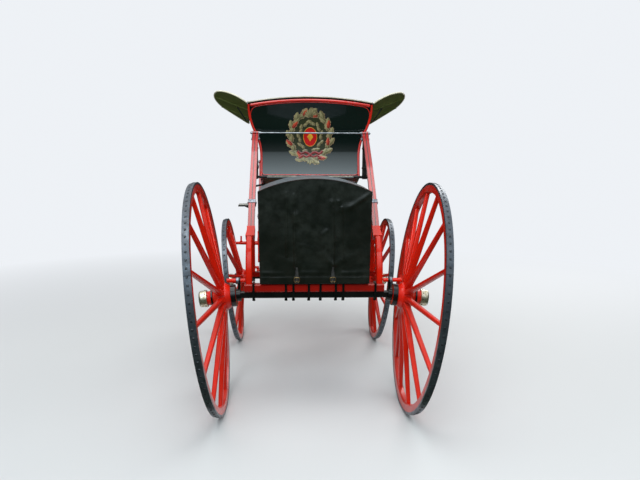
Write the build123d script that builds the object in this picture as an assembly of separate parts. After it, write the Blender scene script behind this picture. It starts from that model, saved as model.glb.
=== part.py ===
# A high perch phaeton: a light two-seat carriage hung over its front axle on four long whip
# springs, with tall dished wheels and a leather-covered trunk over the hind axle.
# Millimetres. +Y is forwards, +X is the carriage's right, +Z is up, and the ground is Z = 0.
# Lengths along Y are measured from the hind axle, and the whole carriage is then shifted so that
# the origin lies on the ground at the middle of its length and width.
import os
from math import atan2, cos, degrees, radians, sin, sqrt, tan

from build123d import *

# Driving dimensions
wheelbase = 1840.0
track = 1340.0  # between the tyre centres on the ground
camber = 6.5  # degrees that the wheels lean out at the top
spring_x = 466.0  # from the carriage's middle to the middle of a whip spring
floor_low = 1540.0  # the lowest point of the body's floor
seat_rise = 275.0  # from there to the seat board
running_gap = 0.1  # round an axle arm, a pin or the perch bolt
seat_gap = 0.3  # between pieces that rest on or beside one another

# Wheels, with one row for each axle. Places along a wheel's own axis are measured out from the
# middle of its tyre.
wheel_rows = {
    "hind": dict(
        y=0.0,
        tyre_r=838.0,
        tyre_w=48.0,
        tyre_t=14.0,
        felloe_w=46.0,
        felloe_t=54.0,
        spokes=14,
        spoke_w=36.0,
        dish=104.0,
        nave_back=-200.0,
        nave_front=6.0,
        nave_r=97.0,
        back_r=74.0,
        nose_r=52.0,
        cap_r=61.0,
        cap_end=66.0,
        arm_r=22.0,
        axle_h=46.0,
        bed_h=57.0,
        bed_d=70.0,
        bar_r=15.0,
        bar_from=500.0,
        bar_to=634.0,
    ),
    "fore": dict(
        y=wheelbase,
        tyre_r=603.0,
        tyre_w=44.0,
        tyre_t=12.0,
        felloe_w=42.0,
        felloe_t=48.0,
        spokes=12,
        spoke_w=34.0,
        dish=84.0,
        nave_back=-180.0,
        nave_front=4.0,
        nave_r=86.0,
        back_r=66.0,
        nose_r=46.0,
        cap_r=54.0,
        cap_end=58.0,
        arm_r=20.0,
        axle_h=40.0,
        bed_h=60.0,
        bed_d=72.0,
        bar_r=13.0,
        bar_from=482.0,
        bar_to=604.0,
    ),
}
band_t = 6.0  # iron nave bands
band_w = 34.0
front_band_w = 12.0
nose_gap = 28.0  # from the front band to the nave's front end
cap_wall = 8.0
nave_belt = 58.0  # width of the flat belt that the spokes stand in
felloe_bevel = 9.0
spoke_foot_d = 44.0  # a spoke's depth along the axle at its foot, and at its tip
spoke_tip_d = 31.0
spoke_taper = 4.0  # how much narrower each side of a spoke is at its tip
spoke_round = 11.0
shoulder_h = 74.0  # of the square foot of a spoke
shoulder_foot_d = 54.0
shoulder_top_d = 34.0
collar_w = 28.0  # the axle's collar behind the nave
collar_r = 46.0
collar_gap = 5.0
bar_clear = 12.0  # between a nave's back band and the round bar above it
bed_half = 505.0
clip_t = 8.0
clip_w = 16.0
hind_clip_places = (-440.0, -207.0, -153.0, -42.0, 42.0, 153.0, 207.0, 440.0)
fore_clip_places = (-464.0, -260.0, 260.0, 464.0)

# Whip springs and the posts that carry them, with one row for each pair. A post is an arc that
# starts upright at y and ends at the spring's lean, in degrees above the horizontal.
fore_spring_z = 1752.0  # height of the fore springs' heads
spring_rows = {
    "hind": dict(
        post_x=spring_x + 8,
        y=16.0,
        rise=316.0,
        w=50.0,
        d=48.0,
        lean=47.5,
        head=(1000.0, 2030.0),
        leaves=6,
    ),
    "fore": dict(
        post_x=spring_x,
        y=wheelbase - 16,
        rise=118.0,
        w=50.0,
        d=54.0,
        lean=66.0,
        head=(wheelbase + 472, fore_spring_z),
        leaves=6,
    ),
}
post_waist = 2.0  # a post narrows by this on each side towards its ends
post_round = 12.0
foot_t = 10.0  # the plate between a post and its spring
shoe_h = 78.0  # the flared shoe that holds the spring's root on that plate
shoe_wall = 5.0
shoe_lip = 5.0  # the shoe stands out this far before and behind its post
leaf_w = 50.0
leaf_t = 7.0
leaf_inset = 2.0  # every second leaf is narrower
short_leaf = 0.46
band_share = 0.28  # of the way up a spring to its band
band_over = 4.0  # how far the band stands out all round
band_h = 34.0
rod_r = 6.5
rod_nut = (12.0, 10.0)  # radius and length
rod_collar_r = 11.0
hind_collar_w = 14.0
fore_collar_w = 4.0
eye_r = 15.0
shackle_drop = 52.0
shackle_t = 5.0
shackle_r = 14.0
pin_r = 11.0
brace_t = 6.0
brace_w = 42.0

# Trunk
trunk_y = -56.0
trunk_length = 550.0
trunk_low_half = 390.0
trunk_high_half = 402.0
trunk_side_h = 662.0
trunk_arch = 90.0
trunk_wall = 16.0
flap_t = 5.0
strap_x = 129.0
strap_w = 25.0
strap_t = 4.0
strap_h = 122.0
buckle_low = 14.0
buckle_h = 30.0

# Body. Side view points are (y, z).
body_low_half = 430.0
body_top_half = 532.0
back_wall = 24.0
side_wall = 22.0
seat_z = floor_low + seat_rise
ogee_low = seat_z + 15.0  # the sides are upright up to here, and bow out from here
ogee_high = seat_z + 435.0  # upright again above this height
corner_z = seat_z + 475.0
crown = 48.0  # rise of the back's top edge
back_top = (1000.0, corner_z + 60.0)
back_mid = (1088.0, seat_z + 175.0)
back_low = (1040.0, floor_low + 110.0)
floor_mid = (1560.0, floor_low)
floor_end = (2050.0, floor_low + 16.0)
toe_end = (2372.0, floor_low + 266.0)
sill_front = (2090.0, floor_low + 154.0)  # the side panel's low edge, which the foot steps over
sill_back = (1820.0, floor_low + 188.0)
arm_foot = (1696.0, seat_z + 75.0)
arm_back = (1020.0, corner_z + 6.0)
arm_front = (1600.0, seat_z + 201.0)
floor_t = 20.0
seat_t = 20.0
seat_front = 1605.0
cushion_t = 100.0
squab_t = 55.0
side_squab_t = 24.0
body_iron_t = 10.0
body_iron_w = 38.0
fore_brace = 168.0
hind_brace_z = back_low[1] + 8.0
fore_brace_z = fore_spring_z - shackle_drop - fore_brace
wing_length = 432.0  # along the arm
wing_reach = 321.0
wing_t = 9.0
wing_rise = 25.7  # degrees
wing_drop = 14.0  # below the arm's top edge
stay_r = 5.0  # a wing's iron stay
stay_reach = 96.0
dash_half = 404.0
dash_h = 290.0
dash_t = 10.0
dash_lean = 46.0  # how far its top stands ahead of its foot
dash_bow = 14.0  # how far its middle stands ahead of a straight board
dash_corner = 70.0
step_place = (154.0, 1210.0)  # the middle of the tread: how far out from the body's side, and y
step_size = (88.0, 150.0, 12.0)
step_drop = 143.0  # from the floor's lowest point to the middle of the tread
step_arm_r = 9.0
step_neck = (60.0, 44.0)  # the iron's bend, outside the body and below the tread

# Perch and fore carriage
perch_w = 62.0
perch_h = 60.0
transom_h = 90.0
transom_d = 92.0
transom_half = 490.0
futchell_h = 50.0
plate_t = 10.0
plate_r = 250.0
plate_w = 46.0
plate_bar_w = 68.0
bolt_r = 15.0
splinter_y = wheelbase + 630.0
splinter_z = 868.0
splinter_r = 24.0
splinter_tip_r = 15.0
splinter_half = 762.0
splinter_taper = 330.0  # length of the taper at each end
trace_places = (-700.0, -170.0, 170.0, 700.0)
trace_pin_r = 9.0
trace_pin_h = 54.0
trace_seat_h = 6.0  # the collar below a pin's free length
trace_seat_w = 6.0

# Worked out from the sizes above
lean = radians(camber)
slope = tan(lean)
hind, fore = wheel_rows["hind"], wheel_rows["fore"]
hind_spring, fore_spring = spring_rows["hind"], spring_rows["fore"]
hind_back = -hind["tyre_r"] - hind["tyre_w"] / 2 * slope
splinter_front = splinter_y + splinter_r
origin_shift = -(hind_back + splinter_front) / 2


def save(node, *shapes):
    """Writes one node, moved from the hind axle to the carriage's own origin."""
    solids = [s for shape in shapes for s in shape.solids()]
    body = solids[0] if len(solids) == 1 else Compound(children=solids)
    export_step(Pos(0, origin_shift, 0) * body, f"parts/{node}.step")


def both_sides(*shapes):
    """Pieces and their mirror images on the other side of the carriage."""
    return [*shapes, *[mirror(shape, about=Plane.YZ) for shape in shapes]]


def side_slab(x, width, *lines):
    """A side view outline, with points (y, z), made solid: width wide with its middle at x."""
    return Pos(x, 0, 0) * extrude(Plane.YZ * make_face(Curve() + list(lines)), width / 2, both=True)


def back_face(*lines):
    """A flat face in the back view, from lines whose points are (x, z)."""
    return make_face(Curve() + list(lines))


def along_y(face, start, length):
    """A back view face made solid from y = start forwards."""
    return Pos(0, start, 0) * extrude(Plane.XZ * face, -length)


def block(x, y, z):
    """A box from (low, high) along each axis."""
    size = [high - low for low, high in (x, y, z)]
    return Pos(x[0], y[0], z[0]) * Box(*size, align=(Align.MIN, Align.MIN, Align.MIN))


def rod_x(x, y, z, r):
    """A round bar along X, from x[0] to x[1]."""
    along = (Align.CENTER, Align.CENTER, Align.MIN)
    return Pos(x[0], y, z) * Rot(0, 90, 0) * Cylinder(r, x[1] - x[0], align=along)


def turned(seam, *lines):
    """A piece turned about a wheel's own axis X from lines whose points are (x, radius)."""
    return Rot(seam, 0, 0) * revolve(make_face(Curve() + list(lines)), Axis.X)


# Wheels
def nave_face(w):
    """The nave's outline: a barrel with a flat belt for the spokes and seats for two bands."""
    back, front, belly_r = w["nave_back"], w["nave_front"], w["nave_r"]
    belt_back, belt_front = -w["dish"] - nave_belt / 2, -w["dish"] + nave_belt / 2
    band_end = back + band_w
    neck = front - nose_gap
    band_low = w["nose_r"] + 3
    return [
        Line((back, 0), (back, w["back_r"])),
        Line((back, w["back_r"]), (band_end, w["back_r"])),
        ThreePointArc((band_end, w["back_r"]), (band_end + 20, belly_r - 7), (belt_back, belly_r)),
        Line((belt_back, belly_r), (belt_front, belly_r)),
        ThreePointArc((belt_front, belly_r), (neck - 26, band_low + 15), (neck - front_band_w, band_low)),
        Line((neck - front_band_w, band_low), (neck, band_low)),
        ThreePointArc((neck, band_low), (neck + 12, w["nose_r"]), (front, w["nose_r"] - 2)),
        Line((front, w["nose_r"] - 2), (front, 0)),
        Line((front, 0), (back, 0)),
    ]


def spoke(w, inner_r):
    """One spoke along Z: a square shoulder on the nave, then an oval stick up to the felloe."""
    foot, tip = w["nave_r"] - 14, inner_r + 12
    root, tip_x = -w["dish"], -2.0
    wide = w["spoke_w"] / 2
    slim = wide - spoke_taper
    side = Polyline(
        (root - spoke_foot_d / 2, foot),
        (root + spoke_foot_d / 2, foot),
        (tip_x + spoke_tip_d / 2, tip),
        (tip_x - spoke_tip_d / 2, tip),
        close=True,
    )
    front = Polyline((1 - wide, foot), (wide - 1, foot), (slim, tip), (-slim, tip), close=True)
    deep = extrude(Plane.XZ * make_face(side), 300, both=True)
    stick = deep & extrude(Plane.YZ * make_face(front), 300, both=True)
    stick = fillet(stick.edges().filter_by(lambda e: e.length > (tip - foot) / 2), spoke_round)
    high = foot + shoulder_h
    drift = root + (tip_x - root) * shoulder_h / (tip - foot)
    square = Polyline(
        (root - shoulder_foot_d / 2, foot),
        (root + shoulder_foot_d / 2, foot),
        (drift + shoulder_top_d / 2, high),
        (drift - shoulder_top_d / 2, high),
        close=True,
    )
    shoulder = extrude(Plane.XZ * make_face(square), wide, both=True)
    reach = Rot(0, 90, 0) * Cylinder(inner_r - seat_gap, 600)
    belt = Rot(0, 90, 0) * Cylinder(w["nave_r"] + seat_gap, 600)
    return ((stick + shoulder) & reach) - belt


def wheel_pieces(w):
    """The pieces of one right-hand wheel, about its own axis, by node name."""
    half_t, half_f = w["tyre_w"] / 2, w["felloe_w"] / 2
    seat_r = w["tyre_r"] - w["tyre_t"]
    inner_r = seat_r - w["felloe_t"]
    # The tread is coned so that it stands flat on the road
    low, high = w["tyre_r"] - half_t * slope, w["tyre_r"] + half_t * slope
    hoop = Polyline((-half_t, seat_r), (half_t, seat_r), (half_t, low), (-half_t, high), close=True)
    tyre = turned(5, hoop)
    felloes = turned(
        13,
        Polyline(
            (-half_f, seat_r - running_gap),
            (-half_f, inner_r + felloe_bevel),
            (-half_f + felloe_bevel, inner_r),
            (half_f - felloe_bevel, inner_r),
            (half_f, inner_r + felloe_bevel),
            (half_f, seat_r - running_gap),
            close=True,
        ),
    )
    turn = 360 / w["spokes"]
    first = spoke(w, inner_r)
    spokes = [Rot(turn * (i + 0.5), 0, 0) * first for i in range(w["spokes"])]
    bore = Rot(0, 90, 0) * Cylinder(w["arm_r"] + running_gap, 900)
    nave = turned(0, *nave_face(w)) - bore
    back, neck = w["nave_back"], w["nave_front"] - nose_gap
    bands = []
    for seam, start, width, r in (
        (21, back, band_w, w["back_r"]),
        (29, neck - front_band_w, front_band_w, w["nose_r"] + 3),
    ):
        low_r, high_r = r + running_gap, r + band_t
        outline = [(start, low_r), (start + width, low_r), (start + width, high_r), (start, high_r)]
        bands.append(turned(seam, Polyline(*outline, close=True)))
    # The cap is a closed cup against the nave's nose, over the end of the axle arm
    front, end, cap_r = w["nave_front"] + seat_gap, w["cap_end"], w["cap_r"]
    cap = turned(
        37,
        Line((front, w["arm_r"] + 8), (front, cap_r - 3)),
        Line((front, cap_r - 3), (front + 3, cap_r)),
        Line((front + 3, cap_r), (end - 16, cap_r - 2)),
        ThreePointArc((end - 16, cap_r - 2), (end - 5, cap_r - 7), (end, cap_r - 18)),
        Line((end, cap_r - 18), (end, 0)),
        Line((end, 0), (end - cap_wall, 0)),
        Line((end - cap_wall, 0), (end - cap_wall, w["arm_r"] + 8)),
        Line((end - cap_wall, w["arm_r"] + 8), (front, w["arm_r"] + 8)),
    )
    return dict(tyre=[tyre], felloes=[felloes], spokes=spokes, hub=[nave, *bands, cap])


def wheel_seat(w):
    """Puts a right-hand wheel, made about its own axis, in its place on the carriage."""
    return Pos(track / 2 + w["tyre_r"] * sin(lean), w["y"], w["tyre_r"] * cos(lean)) * Rot(0, camber, 0)


def save_wheels(end):
    """Saves both wheels of one axle."""
    seat = wheel_seat(wheel_rows[end])
    for node, made in wheel_pieces(wheel_rows[end]).items():
        right = [seat * piece for piece in made]
        save(f"{node}_{end}_right", *right)
        save(f"{node}_{end}_left", *[mirror(piece, about=Plane.YZ) for piece in right])


# Axles and beds
def arm_point(w, x):
    """The carriage's X and Z at a place x along a right-hand wheel's own axis."""
    return track / 2 + w["tyre_r"] * sin(lean) + x * cos(lean), w["tyre_r"] * cos(lean) - x * sin(lean)


def axle_z(w):
    """The height of the axle's middle stretch, level with the arms' inner ends."""
    return arm_point(w, w["nave_back"] - collar_gap - collar_w)[1]


def bar_z(w):
    """The height of the round bar that reaches out over a nave."""
    x, z = arm_point(w, w["nave_back"])
    return z + (w["back_r"] + band_t) / cos(lean) + bar_clear + w["bar_r"]


hind_low = axle_z(hind) + hind["axle_h"] / 2
hind_high = hind_low + hind["bed_h"]
fore_low = axle_z(fore) + fore["axle_h"] / 2
fore_high = fore_low + fore["bed_h"]
plates_low = fore_high + futchell_h
transom_low = plates_low + 2 * plate_t + seat_gap
transom_high = transom_low + transom_h
trunk_floor = hind_high + clip_t + seat_gap
post_base = {"hind": hind_high, "fore": transom_high}


def axle(w):
    """A square iron axle with a collar, a sloping round arm and a bar stand at each end."""
    z = axle_z(w)
    half = w["axle_h"] / 2
    start = w["nave_back"] - collar_gap - collar_w
    seat = wheel_seat(w)
    arm = seat * rod_x((start + 4, w["cap_end"] - cap_wall - 4), 0, 0, w["arm_r"])
    collar = seat * rod_x((start, start + collar_w), 0, 0, collar_r)
    end_x, _ = arm_point(w, start)
    beam = block((-end_x - 8, end_x + 8), (w["y"] - half, w["y"] + half), (z - half, z + half))
    beam = chamfer(beam.edges().filter_by(Axis.X), 6)
    stand_x = (end_x + 2, end_x + 20)
    stand = block(stand_x, (w["y"] - 15, w["y"] + 15), (z, bar_z(w)))
    ring = rod_x(stand_x, w["y"], bar_z(w), w["bar_r"] + 8)
    hole = rod_x((stand_x[0] - 5, stand_x[1] + 5), w["y"], bar_z(w), w["bar_r"] + running_gap)
    solid = beam
    for piece in both_sides(arm, collar, stand + ring):
        solid = solid + piece
    for piece in both_sides(hole):
        solid = solid - piece
    return solid


def bars(w):
    """The round timber bars that shield the naves from above."""
    return both_sides(rod_x((w["bar_from"], w["bar_to"]), w["y"], bar_z(w), w["bar_r"]))


def bed(w, low):
    """A timber bed on an axle."""
    half = w["bed_d"] / 2
    beam = block((-bed_half, bed_half), (w["y"] - half, w["y"] + half), (low, low + w["bed_h"]))
    return chamfer(beam.edges().filter_by(Axis.X), 8)


def clips(w, low, places):
    """Iron bands that hold a bed down on its axle, each with its nut below."""
    made = []
    half = w["bed_d"] / 2 + seat_gap
    bottom = low - w["axle_h"] - seat_gap
    top = low + w["bed_h"] + seat_gap
    y = w["y"]
    for x in places:
        span = (x - clip_w / 2, x + clip_w / 2)
        outer_y = (y - half - clip_t, y + half + clip_t)
        band = block(span, outer_y, (bottom - clip_t, top + clip_t - 2 * seat_gap))
        band = band - block((x - clip_w, x + clip_w), (y - half, y + half), (bottom, top))
        nut = Pos(x, y, bottom - clip_t) * Cylinder(11, 14, align=(Align.CENTER, Align.CENTER, Align.MAX))
        made.append(band + nut)
    return made


# Posts and whip springs
def post_arc(row, base, offset):
    """The side view arc of a post, offset forwards (+) or back (-) from its middle line."""
    turn = radians(90 - row["lean"])
    r = row["rise"] / sin(turn)
    centre_y, reach = row["y"] + r, r - offset
    return ThreePointArc(*[(centre_y - reach * cos(a), base + reach * sin(a)) for a in (0, turn / 2, turn)])


def post(row, base):
    """A curved timber post on a bed."""
    outer, inner = post_arc(row, base, -row["d"] / 2), post_arc(row, base, row["d"] / 2)
    ends = [Line(outer @ 1, inner @ 1), Line(inner @ 0, outer @ 0)]
    solid = side_slab(row["post_x"], row["w"], outer, ends[0], inner, ends[1])
    full, slim, top = row["w"] / 2, row["w"] / 2 - post_waist, row["rise"] + row["d"]
    swell = back_face(
        Line((-slim, 0), (slim, 0)),
        ThreePointArc((slim, 0), (full, top / 2), (slim, top)),
        Line((slim, top), (-slim, top)),
        ThreePointArc((-slim, top), (-full, top / 2), (-slim, 0)),
    )
    bulge = along_y(swell, row["y"] - row["d"], row["rise"] + 2 * row["d"])
    solid = solid & (Pos(row["post_x"], 0, base) * bulge)
    return fillet(solid.edges().filter_by(lambda e: e.length > row["rise"] * 0.8), post_round)


def root_frame(row, base):
    """The middle of a post's top end, and the directions along and across the spring there."""
    end = post_arc(row, base, 0) @ 1
    a = radians(row["lean"])
    return (end.X, end.Y), (cos(a), sin(a)), (-sin(a), cos(a))


def spring_shoe(row, base):
    """The plate on a post's end, with a flared shoe that holds the spring's root."""
    (y, z), along, across = root_frame(row, base)
    half = row["d"] / 2 + shoe_lip
    low, slim = spring_x - leaf_w / 2 - shoe_wall, spring_x + leaf_w / 2 + shoe_wall
    high = max(slim, row["post_x"] + row["w"] / 2 + shoe_wall)
    top = foot_t + shoe_h
    flare = ThreePointArc((high, foot_t), ((high + slim) / 2 - 3, foot_t + shoe_h * 0.4), (slim, top))
    outline = [
        Line((low, seat_gap), (high, seat_gap)),
        Line((high, seat_gap), (high, foot_t)),
        flare,
        Line((slim, top), (low, top)),
        Line((low, top), (low, seat_gap)),
    ]
    plane = Plane(origin=(0, y, z), x_dir=(1, 0, 0), z_dir=(0, *across))
    shoe = extrude(plane * make_face(Curve() + outline), half, both=True)
    at, depth = spring_arc(row, base), row["leaves"] * leaf_t
    rear, front = [
        ThreePointArc(*[at(d, share)[0] for share in (0, 0.15, 0.3)]) for d in (-seat_gap, depth + seat_gap)
    ]
    ends = [Line(rear @ 1, front @ 1), Line(front @ 0, rear @ 0)]
    return shoe - side_slab(spring_x, leaf_w + 2 * seat_gap, rear, ends[0], front, ends[1])


def spring_arc(row, base):
    """The spring's outer radius, and a function for points and tilt along its arc."""
    (y, z), along, across = root_frame(row, base)
    lift, half_depth = foot_t + seat_gap, row["leaves"] * leaf_t / 2
    root_y, root_z = [p + lift * a + half_depth * c for p, a, c in zip((y, z), along, across)]
    head_y, head_z = row["head"]
    length = sqrt((head_y - root_y) ** 2 + (head_z - root_z) ** 2)
    start = radians(row["lean"])
    half_turn = start - atan2(head_z - root_z, head_y - root_y)
    r = length / 2 / sin(half_turn)
    centre = (root_y + r * sin(start), root_z - r * cos(start))

    def at(depth, share):
        """The point a share of the way up, depth below the outer leaf, and the tilt there."""
        a = start - 2 * half_turn * share
        return (centre[0] - (r - depth) * sin(a), centre[1] + (r - depth) * cos(a)), a

    return at


def whip_spring(row, base):
    """A whip spring: one full leaf behind shorter ones, bent together, with an eye at its head."""
    at = spring_arc(row, base)
    head_y, head_z = row["head"]
    depth = row["leaves"] * leaf_t
    solid = None
    for i in range(row["leaves"]):
        reach = 1 - (1 - short_leaf) * i / (row["leaves"] - 1)
        top, low = i * leaf_t, (i + 1) * leaf_t
        outer = ThreePointArc(*[at(top, share)[0] for share in (0, reach / 2, reach)])
        inner = ThreePointArc(*[at(low, share)[0] for share in (0, reach / 2, reach)])
        width = leaf_w - (leaf_inset if i % 2 else 0)
        ends = [Line(outer @ 1, inner @ 1), Line(inner @ 0, outer @ 0)]
        leaf = side_slab(spring_x, width, outer, ends[0], inner, ends[1])
        solid = leaf if solid is None else solid + leaf
    solid = solid + rod_x((spring_x - leaf_w / 2, spring_x + leaf_w / 2), head_y, head_z, eye_r)
    (band_y, band_z), tilt = at(depth / 2, band_share)
    size = (leaf_w + 2 * band_over + 2, band_h, depth + 2 * band_over)
    band = Pos(spring_x, band_y, band_z) * Rot(degrees(tilt), 0, 0) * Box(*size)
    return solid + band - rod_x((spring_x - leaf_w, spring_x + leaf_w), head_y, head_z, rod_r + running_gap)


def stadium(y, top, low, r):
    """The outline of an upright strip with round ends of radius r about (y, top) and (y, low)."""
    return [
        ThreePointArc((y + r, top), (y, top + r), (y - r, top)),
        Line((y - r, top), (y - r, low)),
        ThreePointArc((y - r, low), (y, low - r), (y + r, low)),
        Line((y + r, low), (y + r, top)),
    ]


def shackle(head):
    """Two links and a lower pin that hang from a spring's eye."""
    y, z = head
    inner = leaf_w / 2 + seat_gap
    outline = stadium(y, z, z - shackle_drop, shackle_r)
    links = [side_slab(spring_x + side * (inner + shackle_t / 2), shackle_t, *outline) for side in (-1, 1)]
    outer = inner + shackle_t + 6
    pin = rod_x((spring_x - outer, spring_x + outer), y, z - shackle_drop, pin_r)
    hole = rod_x((spring_x - 60, spring_x + 60), y, z, rod_r + running_gap)
    return links[0] + links[1] + pin - hole


def brace(y, top, low):
    """A leather brace: one strap looped round the shackle's pin and the body's roller."""
    inner = pin_r + seat_gap
    outline = side_slab(spring_x, brace_w, *stadium(y, top, low, inner + brace_t))
    return outline - side_slab(spring_x, brace_w + 4, *stadium(y, top, low, inner))


def head_bolt(row, collar, inner_end=None):
    """The rod through a spring's eye and its shackle, with a nut outside and a collar inside."""
    y, z = row["head"]
    outer = spring_x + leaf_w / 2 + shackle_t + 2 * seat_gap
    inner = spring_x - leaf_w / 2 - shackle_t - 2 * seat_gap
    if inner_end is None:
        inner_end = inner - collar - 1
    nut_r, nut_l = rod_nut
    rod = rod_x((inner_end, outer + nut_l + 4), y, z, rod_r)
    rod = rod + rod_x((outer, outer + nut_l), y, z, nut_r)
    return rod + rod_x((inner - collar, inner), y, z, rod_collar_r)


# Trunk
def trunk_face(inset):
    """The trunk's back view, drawn in by inset: plain sides under an arched lid."""
    low, high = trunk_low_half - inset, trunk_high_half - inset
    base, side = trunk_floor + inset, trunk_floor + trunk_side_h - inset
    top = trunk_floor + trunk_side_h + trunk_arch - inset
    return back_face(
        Line((-low, base), (low, base)),
        Line((low, base), (high, side)),
        ThreePointArc((high, side), (0, top), (-high, side)),
        Line((-high, side), (-low, base)),
    )


def trunk_case():
    """The hollow trunk, open at the back, where the leather flap closes it."""
    outside = along_y(trunk_face(0), trunk_y, trunk_length)
    return outside - along_y(trunk_face(trunk_wall), trunk_y - 1, trunk_length - trunk_wall + 1)


def trunk_flap():
    """The leather flap over the trunk's open back."""
    return along_y(trunk_face(0), trunk_y - flap_t - seat_gap, flap_t)


def trunk_straps():
    """Two straps with their buckles that hold the flap's lower edge."""
    back = trunk_y - flap_t - 2 * seat_gap
    made = []
    for x in (-strap_x, strap_x):
        half = strap_w / 2
        strap = block((x - half, x + half), (back - strap_t, back), (trunk_floor + 4, trunk_floor + strap_h))
        low, high = trunk_floor + buckle_low, trunk_floor + buckle_low + buckle_h
        buckle = block((x - half - 6, x + half + 6), (back - 2 * strap_t, back), (low, high))
        slot_y = (back - 2 * strap_t - 1, back - strap_t)
        made.append(strap + (buckle - block((x - half - 1, x + half + 1), slot_y, (low + 5, high - 5))))
    return made


# Perch
rail_h = 36.0
rail_d = 44.0
wing_low = trunk_floor - seat_gap - rail_h - 36.0
stay_w = 34.0
stay_d = 32.0
rail_places = (190.0, 396.0)  # y of each cross rail's back face


def perch():
    """The single pole from the hind bed to the fore transom, arched a little."""
    back, front = hind["bed_d"] / 2 + seat_gap, wheelbase - transom_d / 2 - seat_gap
    mid = (back + front) / 2
    arch = 14.0
    low_front, low_back = transom_low + 20, hind_high - perch_h
    mid_low = (low_front + low_back) / 2 + arch
    top = ThreePointArc((back, low_back + perch_h), (mid, mid_low + perch_h), (front, low_front + perch_h))
    under = ThreePointArc((front, low_front), (mid, mid_low), (back, low_back))
    solid = side_slab(0, perch_w, top, Line(top @ 1, under @ 0), under, Line(under @ 1, top @ 0))
    return chamfer(solid.edges().filter_by(lambda e: e.length > wheelbase / 2), 9)


def perch_wing():
    """The right-hand timber that spreads from the perch to the hind bed and steadies it."""
    back, meet, side = hind["bed_d"] / 2 + seat_gap, 760.0, perch_w / 2 + seat_gap
    foot, out = 218.0, 218.0 + 48.0
    outline = Polyline(
        (side, meet),
        (side + 24, meet - 130),
        (out, back + 60),
        (out, back),
        (foot, back),
        (foot, back + 44),
        (side, meet - 220),
        close=True,
    )
    return Pos(0, 0, wing_low) * extrude(make_face(outline), 36)


def trunk_rails():
    """Cross rails on the perch wings that carry the trunk and the spring stays."""
    made = []
    for y in rail_places:
        half = spring_x + 24 if y == rail_places[-1] else trunk_low_half
        high, side = trunk_floor - seat_gap, perch_w / 2 + seat_gap
        rail = block((-half, half), (y, y + rail_d), (high - rail_h, high))
        made.append(rail - block((-side, side), (y - 5, y + rail_d + 5), (0, hind_high + 12)))
    return made


def spring_stay(row, base):
    """The right-hand prop from the front cross rail up to the band of a hind spring."""
    depth = row["leaves"] * leaf_t
    (top_y, top_z), tilt = spring_arc(row, base)(depth, band_share)
    foot_y, foot_z = rail_places[-1] + rail_d / 2, trunk_floor
    half, over = stay_d / 2, 60.0
    run = (top_y - foot_y) / (top_z - foot_z)
    outline = Polyline(
        (foot_y - half, foot_z),
        (foot_y + half, foot_z),
        (top_y + half + run * over, top_z + over),
        (top_y - half + run * over, top_z + over),
        close=True,
    )
    above = Box(200, 600, 400, align=(Align.CENTER, Align.CENTER, Align.MIN))
    seat = Pos(spring_x, top_y, top_z) * Rot(degrees(tilt), 0, 0) * Pos(0, 0, -4 - seat_gap) * above
    return side_slab(spring_x, stay_w, outline) - seat


# Body
def ogee():
    """The radius and the half angle, in radians, of the two equal arcs of the body's flare."""
    spread, rise = (body_top_half - body_low_half) / 2, (ogee_high - ogee_low) / 2
    r = (spread**2 + rise**2) / (2 * spread)
    return r, atan2(rise, r - spread)


def flare_x(z, inset=0.0):
    """Half the body's width at height z, drawn in by inset."""
    r, _ = ogee()
    if z <= ogee_low:
        return body_low_half - inset
    if z >= ogee_high:
        return body_top_half - inset
    if z <= (ogee_low + ogee_high) / 2:
        return body_low_half + r - sqrt((r + inset) ** 2 - (z - ogee_low) ** 2)
    return body_top_half - r + sqrt((r - inset) ** 2 - (ogee_high - z) ** 2)


def ogee_arcs(inset):
    """The flare of the right side, drawn in by inset, as two arcs (x, z) from the bottom up."""
    r, turn = ogee()
    angles = (0, turn / 2, turn)
    lower = [(body_low_half + r - (r + inset) * cos(a), ogee_low + (r + inset) * sin(a)) for a in angles]
    upper = [(body_top_half - r + (r - inset) * cos(a), ogee_high - (r - inset) * sin(a)) for a in angles]
    return ThreePointArc(*lower), ThreePointArc(*reversed(upper))


def body_face(inset, low, drop=0.0):
    """The body's back view: upright below, flared above, with a crowned top edge."""
    top = corner_z - drop
    base, corner = body_low_half - inset, body_top_half - inset
    sides = [Line((base, low), (base, ogee_low)), *ogee_arcs(inset), Line((corner, ogee_high), (corner, top))]
    left = [mirror(line, about=Plane.YZ) for line in sides]
    crest = ThreePointArc((corner, top), (0, top + crown), (-corner, top))
    return back_face(Line((-base, low), (base, low)), *sides, crest, *left)


def back_arc(shift):
    """The side view curve of the back, moved forwards by shift, from top to bottom."""
    return ThreePointArc(*[(y + shift, z) for y, z in (back_top, back_mid, back_low)])


def back_slab(start, end, width=1300.0):
    """A curved slab between two positions of the back's curve."""
    rear, front = back_arc(start), back_arc(end)
    return side_slab(0, width, rear, Line(rear @ 1, front @ 1), front, Line(front @ 0, rear @ 0))


def flared_wall(inset, wall, start, length):
    """A run along Y of the right-hand flared side, inset from its outer face."""
    low, top = floor_low - 90, corner_z + 60
    outlines = []
    for depth in (inset, inset + wall):
        base, corner = body_low_half - depth, body_top_half - depth
        outlines.append(
            [Line((base, low), (base, ogee_low)), *ogee_arcs(depth), Line((corner, ogee_high), (corner, top))]
        )
    outer, inner = outlines
    ends = [Line(outer[0] @ 0, inner[0] @ 0), Line(outer[-1] @ 1, inner[-1] @ 1)]
    return along_y(back_face(*outer, *inner, *ends), start, length)


def body_back():
    """The back panel: hollow in the side view, flared and crowned in the back view."""
    return back_slab(0, back_wall) & along_y(body_face(0, back_low[1]), back_top[0] - 200, 600)


floor_back = (back_low[0] + back_wall + seat_gap, back_low[1])
side_start = back_wall + seat_gap
rear_limit = back_top[0] - 10


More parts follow.
